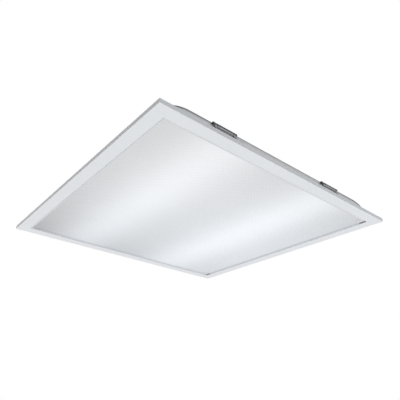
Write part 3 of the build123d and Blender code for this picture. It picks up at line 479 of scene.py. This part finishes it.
# painted shade: black on the cut edges and finger sides, blue-black at the knuckle
springLook = {
    "colour": (0.25, 0.253, 0.265, 1), "second": (0.2, 0.203, 0.215, 1), "bright": (0.42, 0.425, 0.445, 1),
    "edgeWearAndLight": (0.03, 0.03, 0.033, 1), "paintedShade": (0.04, 0.048, 0.066, 1), "paintedShadeFrom": (0.0336, 0.0346),
    "paintedShadeSwing": 0.5, "fingerHalf": 0.0035, "fingerSlack": 0.0003, "clearStrip": 0.0017, "rimStrength": 0.85,
    "patches": 60.0, "grain": 900.0, "roughness": 0.36, "unevenness": 0.2, "stretch": (1.0, 0.06, 0.06),
    "fineness": 700.0, "lineRange": (0.36, 0.66), "glossSwing": 0.4, "edgeWearAndLightAmount": 1.6, "relief": 0.00003,
    "shader": {"Metallic": 0.7},
}

clipFinish = springSteel("clipSpringSteel", springLook)


# Moulded plastic with a fine grain and slight flow marks

def mouldedPlastic(name, look):
    finish, tree, shader, where, base = startFinish(name, look)
    flow = ramp(tree, drawLines(tree, where, look), *look["flowRange"])
    colour = mixColour(tree, times(tree, flow, look["flow"]), base["Colour"], look["second"])
    # painted shade: the block turns dark towards its outer end, at the gap by the lens corner
    if look["tip"]:
        across = magnitude(tree, splitAxes(tree, where["Object"])[0])
        colour = mixColour(tree, ramp(tree, across, *look["tip"]), colour, look["tipPaintedShade"])
    wearAndLightMark = paintEdgeWearAndLight(tree, where, look, colour)
    endFinish(tree, shader, wearAndLightMark["Colour"], base["Roughness"], base["Height"], look["relief"])
    return finish


plasticLook = {
    "colour": (0.78, 0.77, 0.72, 1), "second": (0.72, 0.70, 0.64, 1), "edgeWearAndLight": (0.85, 0.84, 0.8, 1),
    "patches": 35.0, "grain": 1500.0, "roughness": 0.42, "unevenness": 0.14, "stretch": (1.0, 0.4, 1.0),
    "fineness": 60.0, "flow": 0.4, "flowRange": (0.4, 0.65), "edgeWearAndLightAmount": 0.3, "relief": 0.00004, "tip": None,
    "shader": {"IOR": 1.49},
}
greyPlastic = dict(plasticLook, colour=(0.27, 0.28, 0.29, 1), second=(0.22, 0.23, 0.24, 1),
                   edgeWearAndLight=(0.4, 0.41, 0.42, 1))
blockPlastic = dict(plasticLook, colour=(0.8, 0.81, 0.82, 1), second=(0.75, 0.76, 0.77, 1), roughness=0.5,
                    tip=(0.265, 0.27), tipPaintedShade=(0.16, 0.16, 0.17, 1))
glandPlastic = dict(plasticLook, colour=(0.44, 0.455, 0.47, 1), second=(0.38, 0.39, 0.405, 1),
                    edgeWearAndLight=(0.6, 0.61, 0.62, 1), roughness=0.5)
bushPlastic = dict(plasticLook, colour=(0.06, 0.06, 0.065, 1), second=(0.09, 0.09, 0.09, 1),
                   edgeWearAndLight=(0.2, 0.2, 0.2, 1))
rubberLook = dict(plasticLook, colour=(0.025, 0.025, 0.026, 1), second=(0.045, 0.045, 0.045, 1),
                  edgeWearAndLight=(0.09, 0.09, 0.09, 1), roughness=0.65, grain=2200.0)

nylonFinish = mouldedPlastic("whiteNylon", plasticLook)
terminalFinish = mouldedPlastic("greyTerminal", greyPlastic)
blockFinish = mouldedPlastic("paleHingeBlock", blockPlastic)
glandFinish = mouldedPlastic("glandPlastic", glandPlastic)
bushFinish = mouldedPlastic("bushPlastic", bushPlastic)
rubberFinish = mouldedPlastic("blackRubber", rubberLook)


# Wire insulation: glossy, with faint draw lines

jacketColours = {
    "brownJacket": ((0.16, 0.07, 0.035, 1), (0.2, 0.09, 0.05, 1)),
    "blueJacket": ((0.03, 0.11, 0.42, 1), (0.05, 0.14, 0.48, 1)),
    "redJacket": ((0.48, 0.02, 0.02, 1), (0.55, 0.05, 0.04, 1)),
    "blackJacket": ((0.02, 0.02, 0.022, 1), (0.04, 0.04, 0.04, 1)),
    "greenYellowJacket": ((0.05, 0.32, 0.08, 1), (0.07, 0.37, 0.11, 1)),
}
stripeLook = {"colour": (0.75, 0.6, 0.04, 1), "towards": (0.5, 0.5, -0.7), "range": (0.3, 0.36)}


def jacket(name, colour, second):
    look = dict(plasticLook, colour=colour, second=second, edgeWearAndLight=second, roughness=0.33, grain=1800.0,
                stretch=(0.2, 0.2, 0.2), shader={"IOR": 1.5, "Sheen Weight": 0.05})
    return mouldedPlastic(name, look)


def addStripe(finish, look):  # a second colour along the lower side of the wire
    tree = finish.node_tree
    target = tree.nodes["Principled BSDF"].inputs["Base Color"]
    facing = tree.nodes.new("ShaderNodeTexCoord").outputs["Normal"]
    side = ramp(tree, vectorMaths(tree, "DOT_PRODUCT", facing, look["towards"]), *look["range"])
    ground = target.links[0].from_socket
    put(tree, target, mixColour(tree, side, ground, look["colour"]))


jackets = {name: jacket(name, *colours) for name, colours in jacketColours.items()}
addStripe(jackets["greenYellowJacket"], stripeLook)


# White solder mask of the boards, with copper tracks and pads showing faintly through

circuitLook = {
    "colour": (0.80, 0.81, 0.79, 1), "second": (0.76, 0.77, 0.75, 1), "patches": 30.0, "grain": 1200.0,
    "roughness": 0.3, "unevenness": 0.08, "track": (0.70, 0.71, 0.68, 1), "pad": (0.62, 0.6, 0.52, 1),
    "stripX": 0.130, "pitch": 0.0185, "busPlace": 0.0075, "busHalf": 0.0022, "bridgeHalf": 0.0024,
    "bridgeFrom": 0.003, "padPlace": 0.0001, "padHalf": 0.0021, "grainShare": 0.3, "relief": 0.00005,
    "shader": {},
}


def circuitMask(name, look):
    finish, tree, shader, where, base = startFinish(name, look)
    axes = splitAxes(tree, where["Object"])
    reach = magnitude(tree, minus(tree, magnitude(tree, axes["X"]), look["stripX"]))
    bus = maths(tree, "COMPARE", reach, look["busPlace"], look["busHalf"])
    along = maths(tree, "PINGPONG", axes["Y"], look["pitch"] / 2)
    bridge = times(tree, maths(tree, "LESS_THAN", reach, look["bridgeHalf"]),
                   maths(tree, "GREATER_THAN", along, look["bridgeFrom"]))
    track = maths(tree, "MAXIMUM", bus, bridge)
    colour = mixColour(tree, track, base["Colour"], look["track"])
    pad = times(tree, maths(tree, "LESS_THAN", reach, look["padHalf"]),
                maths(tree, "COMPARE", along, look["padPlace"], look["padHalf"]))
    colour = mixColour(tree, pad, colour, look["pad"])
    height = plus(tree, track, times(tree, base["Height"], look["grainShare"]))
    endFinish(tree, shader, colour, base["Roughness"], height, look["relief"])
    return finish


circuitFinish = circuitMask("whiteSolderMask", circuitLook)


# Yellow phosphor under clear gel, lit

phosphorLook = {
    "colour": (0.85, 0.72, 0.28, 1), "second": (0.9, 0.78, 0.4, 1), "patches": 400.0, "grain": 4000.0,
    "roughness": 0.35, "unevenness": 0.1, "speckle": 2500.0, "speckleRange": (0.3, 0.7),
    "warm": (1.0, 0.9, 0.72, 1), "pale": (1.0, 0.95, 0.85, 1), "relief": 0.00004,
    "shader": {"Emission Strength": 2.2},
}


def phosphor(name, look):
    finish, tree, shader, where, base = startFinish(name, look)
    speckle = ramp(tree, noise(tree, where["Object"], look["speckle"], 2.0), *look["speckleRange"])
    put(tree, shader.inputs["Emission Color"], mixColour(tree, speckle, look["warm"], look["pale"]))
    endFinish(tree, shader, base["Colour"], base["Roughness"], base["Height"], look["relief"])
    return finish


phosphorFinish = phosphor("ledPhosphor", phosphorLook)


# Prismatic acrylic of the lens, with the light of the two strips above it painted in as glow

lensLook = {
    "colour": (0.34, 0.345, 0.355, 1), "second": (0.33, 0.335, 0.345, 1), "patches": 12.0, "grain": 260.0,
    "roughness": 0.32, "unevenness": 0.06, "relief": 0.00003, "half": 0.270,
    "level": 0.7448, "slopes": (0.0485, -0.0462, 0.0699, -0.0491, -0.0844), "received": 0.354,
    "bands": ((-0.150, 0.05, 0.187, 0.0133), (0.115, 0.05, 0.175, -0.014)),
    "lightNear": (0.985, 0.998, 1.017, 1), "lightFar": (0.935, 1.0, 1.065, 1),
    "lean": (0.55, 0.35, 0.0), "leanSparkle": 0.14, "fleck": 420.0, "fleckSparkle": 0.07,
    "shader": {"IOR": 1.49, "Coat Weight": 0.05, "Coat Roughness": 0.2, "Emission Strength": 1.0},
}


def litLens(name, look):
    finish, tree, shader, where, base = startFinish(name, look)
    axes = splitAxes(tree, where["Object"])
    u = maths(tree, "DIVIDE", axes["X"], look["half"])
    v = maths(tree, "DIVIDE", axes["Y"], look["half"])
    total = look["level"] - look["received"]
    terms = (u, v, times(tree, u, v), times(tree, u, u), times(tree, v, v))
    for slope, term in zip(look["slopes"], terms):
        total = plus(tree, total, times(tree, term, slope))
    for middle, width, peak, tilt in look["bands"]:
        away = maths(tree, "DIVIDE", minus(tree, axes["X"], middle), width)
        bell = maths(tree, "EXPONENT", times(tree, times(tree, away, away), -0.5))
        height = plus(tree, times(tree, v, tilt), peak)
        total = plus(tree, total, times(tree, bell, height))
    # painted glints: facets that lean towards +X +Y glow brighter, with random flecks
    lean = vectorMaths(tree, "DOT_PRODUCT", where["Normal"], look["lean"])
    fleck = noise(tree, where["Object"], look["fleck"], 2.0)
    change = plus(tree, times(tree, lean, look["leanSparkle"]), swing(tree, fleck, look["fleckSparkle"]))
    total = times(tree, total, plus(tree, change, 1.0))
    # painted light: the glow's colour shifts towards the +X +Y corner
    far = ramp(tree, plus(tree, u, v), -2.0, 2.0)
    glow = scaled(tree, mixColour(tree, far, look["lightNear"], look["lightFar"]), total)
    put(tree, shader.inputs["Emission Color"], glow)
    endFinish(tree, shader, base["Colour"], base["Roughness"], base["Height"], look["relief"])
    return finish


lensFinish = litLens("litPrismaticAcrylic", lensLook)
print("finishes made:", len(bpy.data.materials))


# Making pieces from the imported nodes

weld = {"packed": 2e-6, "made": 1e-6, "cut": 1e-7}  # metres
softening = {"flat": 0.8, "sharp": 40.0, "steps": 2, "shading": 50, "sideways": 0.8}


def giveFinish(name, finish):
    mesh = nodes[name].data
    mesh.materials.clear()
    mesh.materials.append(finish)


def mergedCopy(name):
    work = bmesh.new()
    work.from_mesh(nodes[name].data)
    bmesh.ops.remove_doubles(work, verts=work.verts[:], dist=weld["packed"])
    return work


def newPiece(name, work, finishes, body, replaced):
    mesh = bpy.data.meshes.new(name)
    work.to_mesh(mesh)
    work.free()
    piece = bpy.data.objects.new(name, mesh)
    bpy.context.scene.collection.objects.link(piece)
    for finish in finishes:
        mesh.materials.append(finish)
    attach(piece, body)
    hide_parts(*replaced)
    return piece


def evenShading(piece):
    shading = piece.modifiers.new("evenShading", "WEIGHTED_NORMAL")
    shading.weight = softening["shading"]
    shading.keep_sharp = True


def markWorn(work, faces):
    mark = work.loops.layers.float["wearAndLightMark"]
    for face in faces:
        for loop in face.loops:
            loop[mark] = 1.0


def softenEdges(work, width, sharp):
    flat = math.radians(softening["flat"])
    bmesh.ops.dissolve_limit(work, angle_limit=flat, verts=work.verts[:], edges=work.edges[:])
    work.loops.layers.float.new("wearAndLightMark")
    edges = [e for e in work.edges if len(e.link_faces) == 2 and e.calc_face_angle(0.0) > math.radians(sharp)]
    made = bmesh.ops.bevel(work, geom=edges, offset=width, offset_type="OFFSET", segments=softening["steps"],
                           profile=0.5, affect="EDGES", clamp_overlap=True, material=-1)
    for face in work.faces:
        face.smooth = True
    markWorn(work, made["faces"])


# The same piece with its edges broken; with sides, the cut sides of an upright strip are marked as well, and
# the spring steel darkens them as painted shade

def dressed(name, width, finish, body, sharp=softening["sharp"], sides=False):
    work = mergedCopy(name)
    softenEdges(work, width * mm, sharp)
    if sides:
        markWorn(work, [face for face in work.faces if abs(face.normal.x) > softening["sideways"]])
    piece = newPiece(name + "_dressed", work, [finish], body, [name])
    evenShading(piece)


def looseParts(name):  # lowest and highest corner of each separate solid in a node
    work = mergedCopy(name)
    left = set(work.verts)
    boxes = []
    while left:
        ring = [left.pop()]
        found = list(ring)
        while ring:
            vert = ring.pop()
            for edge in vert.link_edges:
                other = edge.other_vert(vert)
                if other in left:
                    left.discard(other)
                    ring.append(other)
                    found.append(other)
        low = Vector([min(v.co[axis] for v in found) for axis in range(3)])
        high = Vector([max(v.co[axis] for v in found) for axis in range(3)])
        boxes.append((low, high))
    work.free()
    return sorted(boxes, key=lambda box: tuple(box[0]))


def turned(work, profile, steps):  # a round form from an outline of (radius, height)
    verts = [work.verts.new((radius, 0.0, height)) for radius, height in profile]
    edges = [work.edges.new(pair) for pair in zip(verts, verts[1:])]
    bmesh.ops.spin(work, geom=verts + edges, axis=(0, 0, 1), cent=(0, 0, 0), steps=steps,
                   angle=math.tau, use_merge=True, use_duplicate=False)
    bmesh.ops.remove_doubles(work, verts=work.verts[:], dist=weld["made"])
    bmesh.ops.recalc_face_normals(work, faces=work.faces[:])


def placeCopies(work, shape, places):
    for place in places:
        copy = shape.copy()
        copy.transform(place)
        work.from_mesh(copy)
        bpy.data.meshes.remove(copy)


def asMesh(work, name):
    mesh = bpy.data.meshes.new(name)
    work.to_mesh(mesh)
    work.free()
    return mesh


# Border and door rails: mitred bars with their edges just broken

borderShape = {"edge": 0.12}
railShape = {"edge": 0.12}
fourSides = ("front", "right", "back", "left")
for side in fourSides:
    dressed("trim_" + side, borderShape["edge"], borderFinish, "housing")
for side in fourSides:
    dressed("lens_rail_" + side, railShape["edge"], railFinish, "lens_door")
print("border and rails done")


# Lens: a panel with a field of square pyramids on its underside

lensShape = {"pitch": 5.6, "depth": 0.75, "turn": 45.0, "cover": 1.45, "notch": 256.7}


def makeLens(shape):
    low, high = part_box("lens")
    pitch = shape["pitch"] * mm
    reach = shape["cover"] * high.x
    count = int(2 * reach / pitch)
    depth = shape["depth"] * mm
    turn = Matrix.Rotation(math.radians(shape["turn"]), 3, "Z")
    work = bmesh.new()
    bmesh.ops.create_grid(work, x_segments=count, y_segments=count, size=count * pitch / 2)
    bmesh.ops.rotate(work, verts=work.verts[:], cent=(0, 0, 0), matrix=turn)
    bmesh.ops.translate(work, verts=work.verts[:], vec=(0, 0, low.z + depth))
    bmesh.ops.poke(work, faces=work.faces[:], offset=-depth, center_mode="MEAN", use_relative_offset=False)

    def cutAt(point, direction, clear):
        geometry = work.verts[:] + work.edges[:] + work.faces[:]
        bmesh.ops.bisect_plane(work, geom=geometry, dist=weld["cut"], plane_co=point, plane_no=direction,
                               clear_outer=clear)

    cutAt((low.x, 0, 0), (-1, 0, 0), True)
    cutAt((high.x, 0, 0), (1, 0, 0), True)
    cutAt((0, low.y, 0), (0, -1, 0), True)
    cutAt((0, high.y, 0), (0, 1, 0), True)
    notch = shape["notch"] * mm  # the two corners over the pivots are cut out
    cutAt((notch, 0, 0), (1, 0, 0), False)
    cutAt((0, notch, 0), (0, 1, 0), False)
    cutAt((0, -notch, 0), (0, -1, 0), False)
    middles = [(face, face.calc_center_median()) for face in work.faces]
    corners = [face for face, middle in middles if middle.x > notch and abs(middle.y) > notch]
    bmesh.ops.delete(work, geom=corners, context="FACES")
    rim = [e for e in work.edges if e.is_boundary]
    walls = bmesh.ops.extrude_edge_only(work, edges=rim)["geom"]
    for item in walls:
        if isinstance(item, bmesh.types.BMVert):
            item.co.z = high.z
    top = [item for item in walls if isinstance(item, bmesh.types.BMEdge) and item.is_boundary]
    bmesh.ops.holes_fill(work, edges=top, sides=0)
    bmesh.ops.recalc_face_normals(work, faces=work.faces[:])
    newPiece("lens_prisms", work, [lensFinish], "lens_door", ["lens"])


makeLens(lensShape)
print("lens done")


# Hold-down clips and the leaves they turn on

clipShape = {"edge": 0.22, "leafEdge": 0.18}
for number in (1, 2, 3, 4):
    name = "hold_down_clip_" + str(number)
    dressed(name, clipShape["edge"], clipFinish, name, sides=True)
dressed("clip_hinge_leaves", clipShape["leafEdge"], leafFinish, "housing")
print("clips done")


# Screws with a cross recess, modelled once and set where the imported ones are

screwShape = {
    "radius": 3.0, "head": 1.8, "shank": 1.5, "recess": 0.55, "reach": 1.75, "deep": 1.1, "steps": 20,
    "dome": ((0.0, 1.0), (0.45, 0.96), (0.75, 0.8), (0.94, 0.5), (1.0, 0.2), (0.98, 0.0)),
    "taper": ((1.0, 0.0), (1.0, 0.85), (0.45, 1.0), (0.0, 1.0)), "twist": 37, "flatArea": 1.2e-6,
}


def screwMesh(shape, length):  # head up, seat at z = 0, tip down
    radius, head, shank = (shape[key] * mm for key in ("radius", "head", "shank"))
    work = bmesh.new()
    outline = [(radius * across, head * up) for across, up in shape["dome"]]
    outline += [(shank * across, -length * down) for across, down in shape["taper"]]
    turned(work, outline, shape["steps"])
    body = bpy.data.objects.new("screwBody", asMesh(work, "screwBody"))
    work = bmesh.new()
    for across, along in ((shape["recess"], shape["reach"]), (shape["reach"], shape["recess"])):
        made = bmesh.ops.create_cube(work, size=1.0)
        bmesh.ops.scale(work, verts=made["verts"], vec=Vector((across, along, shape["deep"])) * 2 * mm)
        bmesh.ops.translate(work, verts=made["verts"], vec=(0, 0, head))
    cutter = bpy.data.objects.new("screwCutter", asMesh(work, "screwCutter"))
    for item in (body, cutter):
        bpy.context.scene.collection.objects.link(item)
    cut = body.modifiers.new("recess", "BOOLEAN")
    cut.object = cutter
    cut.operation = "DIFFERENCE"
    cut.solver = "EXACT"
    cut.use_self = True
    bpy.context.view_layer.update()
    mesh = bpy.data.meshes.new_from_object(body.evaluated_get(bpy.context.evaluated_depsgraph_get()))
    for item in (body, cutter):
        bpy.data.objects.remove(item)
    return mesh


def makeScrews(name, headUp, shape):
    boxes = looseParts(name)
    low, high = boxes[0]
    head = shape["head"] * mm
    mesh = screwMesh(shape, high.z - low.z - head)
    places = []
    for number, (low, high) in enumerate(boxes):
        middle = (low + high) / 2
        twist = Matrix.Rotation(math.radians(shape["twist"] * number % 90), 4, "Z")
        place = Matrix.Translation((middle.x, middle.y, high.z - head if headUp else low.z + head))
        if not headUp:
            place = place @ Matrix.Rotation(math.pi, 4, "X")
        places.append(place @ twist)
    work = bmesh.new()
    placeCopies(work, mesh, places)
    for face in work.faces:
        face.smooth = face.calc_area() < shape["flatArea"]
    piece = newPiece(name + "_cross", work, [screwFinish], "housing", [name])
    evenShading(piece)


for name in ("frame_screws", "access_screws"):
    makeScrews(name, True, screwShape)
for name in ("gear_cover_screws", "driver_screws", "terminal_screws"):
    makeScrews(name, False, screwShape)
print("screws done")


# Blind rivets: domed flange on one side, formed tail with its pin on the other

rivetShape = {
    "flange": 3.0, "flangeHeight": 1.0, "shank": 1.6, "tail": 2.5, "tailHeight": 1.0, "pin": 0.9, "steps": 16,
    "pinHole": ((0.0, 0.62), (0.8, 0.62), (1.0, 0.98)),
    "flangeForm": ((0.55, 0.93), (0.86, 0.6), (1.0, 0.18), (1.0, 0.0)),
    "tailForm": ((0.96, 0.0), (1.0, 0.35), (0.82, 0.85)), "pinEnd": ((1.0, 1.0), (0.85, 0.7), (0.0, 0.75)),
}


def rivetMesh(shape, grip):  # flange under z = 0, tail above z = grip
    flange, shank, tail, pin = (shape[key] * mm for key in ("flange", "shank", "tail", "pin"))
    down, up = shape["flangeHeight"] * mm, shape["tailHeight"] * mm
    outline = [(pin * across, -down * level) for across, level in shape["pinHole"]]
    outline += [(flange * across, -down * level) for across, level in shape["flangeForm"]]
    outline += [(shank, 0.0), (shank, grip)]
    outline += [(tail * across, grip + up * level) for across, level in shape["tailForm"]]
    outline += [(pin * across, grip + up * level) for across, level in shape["pinEnd"]]
    work = bmesh.new()
    turned(work, outline, shape["steps"])
    return asMesh(work, "rivetShape")


def makeRivets(name, finish, shape, sideways=False):
    flangeHeight, tailHeight = shape["flangeHeight"] * mm, shape["tailHeight"] * mm
    work = bmesh.new()
    for low, high in looseParts(name):
        middle = (low + high) / 2
        size = high - low
        grip = (size.y if sideways else size.z) - flangeHeight - tailHeight
        mesh = rivetMesh(shape, grip)
        place = Matrix.Translation((middle.x, middle.y, low.z + flangeHeight))
        if sideways:
            out = -1 if middle.y < 0 else 1
            seat = (low.y if out < 0 else high.y) - out * flangeHeight
            turn = Matrix.Rotation(out * math.pi / 2, 4, "X")
            place = Matrix.Translation((middle.x, seat, middle.z)) @ turn
        placeCopies(work, mesh, [place])
        bpy.data.meshes.remove(mesh)
    for face in work.faces:
        face.smooth = True
    newPiece(name + "_blind", work, [finish], "housing", [name])


makeRivets("tray_rivets", trayFinish, rivetShape)
makeRivets("end_plate_rivets", trayFinish, rivetShape)
makeRivets("board_rivets", nylonFinish, rivetShape)
makeRivets("clip_leaf_rivets", screwFinish, rivetShape, sideways=True)
print("rivets done")


# LED packages: white cup with a window of phosphor

packageShape = {"rim": 0.42, "slope": 0.05, "sink": 0.12}


def makePackages(name, shape):
    work = bmesh.new()
    for low, high in looseParts(name):
        made = bmesh.ops.create_cube(work, size=1.0)
        bmesh.ops.scale(work, verts=made["verts"], vec=high - low)
        bmesh.ops.translate(work, verts=made["verts"], vec=(low + high) / 2)
        faces = {face for vert in made["verts"] for face in vert.link_faces}
        below = min(faces, key=lambda face: face.calc_center_median().z)
        bmesh.ops.inset_individual(work, faces=[below], thickness=shape["rim"] * mm, depth=0.0)
        window = bmesh.ops.inset_individual(work, faces=[below], thickness=shape["slope"] * mm,
                                            depth=-shape["sink"] * mm)
        below.material_index = 1
        for face in window["faces"]:
            face.material_index = 0
    newPiece(name + "_cups", work, [nylonFinish, phosphorFinish], "housing", [name])


makePackages("led_packages_left", packageShape)
makePackages("led_packages_right", packageShape)
print("packages done")


# Cable gland and its access plate, with broken edges

glandShape = {"edge": 0.35, "nutEdge": 0.3, "capEdge": 0.5, "capSharp": 30.0}
dressed("gland_body", glandShape["edge"], glandFinish, "housing")
dressed("gland_locknut", glandShape["nutEdge"], glandFinish, "housing")
dressed("gland_cap_nut", glandShape["capEdge"], glandFinish, "housing",
        sharp=glandShape["capSharp"])

accessPlateShape = {"edge": 0.12}
dressed("access_plate", accessPlateShape["edge"], accessPlateFinish, "housing")
print("gland and access plate done")


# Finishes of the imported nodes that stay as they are

plainNodes = {
    "housing_pan": panFinish, "end_plate_front": endPlateFinish, "end_plate_back": endPlateFinish,
    "gear_cover": gearFinish, "led_tray_left": trayFinish, "led_tray_right": trayFinish,
    "led_board_left": circuitFinish, "led_board_right": circuitFinish, "board_connectors": nylonFinish,
    "terminal_block": nylonFinish, "lead_clips": nylonFinish, "trim_corner_keys": screwFinish,
    "clip_hinge_pins": clipFinish, "strike_plates": screwFinish, "pivot_pins": screwFinish,
    "rail_corner_keys": screwFinish, "driver_case": driverFinish, "driver_terminals": terminalFinish,
    "hinge_blocks": blockFinish, "wire_live": jackets["brownJacket"], "wire_neutral": jackets["blueJacket"],
    "wire_earth": jackets["greenYellowJacket"], "led_leads_positive": jackets["redJacket"],
    "led_leads_negative": jackets["blackJacket"], "lead_grommets": rubberFinish, "gland_seal": rubberFinish,
    "catch_magnets": magnetFinish, "earth_stud": brassFinish, "earth_nuts": brassFinish,
    "pivot_bushes": bushFinish, "magnet_holders": bushFinish,
}
for name, finish in plainNodes.items():
    giveFinish(name, finish)
print("plain nodes finished:", len(plainNodes))


# Camera below the lamp, as the photograph was taken

cameraShape = {
    "place": (-0.53269, -0.68529, -0.38195), "lens": 37.19, "sensor": 36.0, "shiftX": -0.0203,
    "nearest": 0.01,
    "turn": ((0.76057789, -0.30731419, -0.57190844),
             (-0.64909447, -0.34085345, -0.68007006),
             (0.01405822, 0.88846886, -0.45872154)),
}
view = bpy.data.cameras.new("viewFromBelow")
view.lens = cameraShape["lens"]
view.sensor_width = cameraShape["sensor"]
view.shift_x = cameraShape["shiftX"]
view.clip_start = cameraShape["nearest"]
viewer = bpy.data.objects.new("viewFromBelow", view)
bpy.context.scene.collection.objects.link(viewer)
viewer.matrix_world = Matrix.Translation(cameraShape["place"]) @ Matrix(cameraShape["turn"]).to_4x4()
bpy.context.scene.camera = viewer


# Studio: pale floor, white surroundings and broad soft lights

studio = {
    "floorLevel": -1.35, "floorReach": 7.0, "floorSides": 64, "floorGlow": 0.82, "floorSeen": 0.95,
    "floorRough": 0.8, "floorPatches": 3.0, "floorTones": ((0.84, 0.84, 0.84, 1), (0.88, 0.88, 0.88, 1)),
    "ambient": 0.07,
    "lights": (
        ("front", (0.3, -2.4, -0.35), 1.5, 7.8),
        ("above", (0.3, 0.3, 2.2), 2.0, 62.0),
    ),
}
for name, place, size, power in studio["lights"]:
    lamp = bpy.data.lights.new(name, "AREA")
    lamp.shape = "SQUARE"
    lamp.size = size
    lamp.energy = power
    holder = bpy.data.objects.new(name, lamp)
    bpy.context.scene.collection.objects.link(holder)
    turn = (-Vector(place)).to_track_quat("-Z", "Y").to_matrix()
    holder.matrix_world = Matrix.Translation(place) @ turn.to_4x4()
    holder.visible_camera = False
    holder.visible_glossy = False


def makeFloor():
    work = bmesh.new()
    bmesh.ops.create_circle(work, cap_ends=True, segments=studio["floorSides"], radius=studio["floorReach"])
    bmesh.ops.translate(work, verts=work.verts[:], vec=(0, 0, studio["floorLevel"]))
    floor = bpy.data.objects.new("floor", asMesh(work, "floor"))
    bpy.context.scene.collection.objects.link(floor)
    finish = bpy.data.materials.new("paleFloor")
    finish.use_nodes = True
    tree = finish.node_tree
    shader = tree.nodes["Principled BSDF"]
    shader.inputs["Roughness"].default_value = studio["floorRough"]
    where = tree.nodes.new("ShaderNodeTexCoord").outputs["Object"]
    patches = noise(tree, where, studio["floorPatches"])
    put(tree, shader.inputs["Base Color"], mixColour(tree, patches, *studio["floorTones"]))
    glow = tree.nodes.new("ShaderNodeEmission")
    path = tree.nodes.new("ShaderNodeLightPath").outputs
    mixer = tree.nodes.new("ShaderNodeMixShader")
    share = ramp(tree, path["Is Camera Ray"], 0.0, 1.0, studio["floorGlow"], studio["floorSeen"])
    put(tree, mixer.inputs[0], share)
    put(tree, mixer.inputs[1], shader.outputs[0])
    put(tree, mixer.inputs[2], glow.outputs[0])
    put(tree, tree.nodes["Material Output"].inputs["Surface"], mixer.outputs[0])
    floor.data.materials.append(finish)


def makeSurroundings():
    world = bpy.data.worlds.new("whiteRoom")
    world.use_nodes = True
    bpy.context.scene.world = world
    tree = world.node_tree
    back = tree.nodes["Background"]
    back.inputs["Color"].default_value = (1, 1, 1, 1)
    path = tree.nodes.new("ShaderNodeLightPath").outputs
    mirrored = maths(tree, "MAXIMUM", path["Is Glossy Ray"], path["Is Transmission Ray"])
    seen = maths(tree, "MAXIMUM", path["Is Camera Ray"], mirrored)
    put(tree, back.inputs["Strength"], ramp(tree, seen, 0.0, 1.0, studio["ambient"], 1.0))


makeFloor()
makeSurroundings()
bpy.context.scene.view_settings.view_transform = "Standard"
print("camera, lights and floor done")
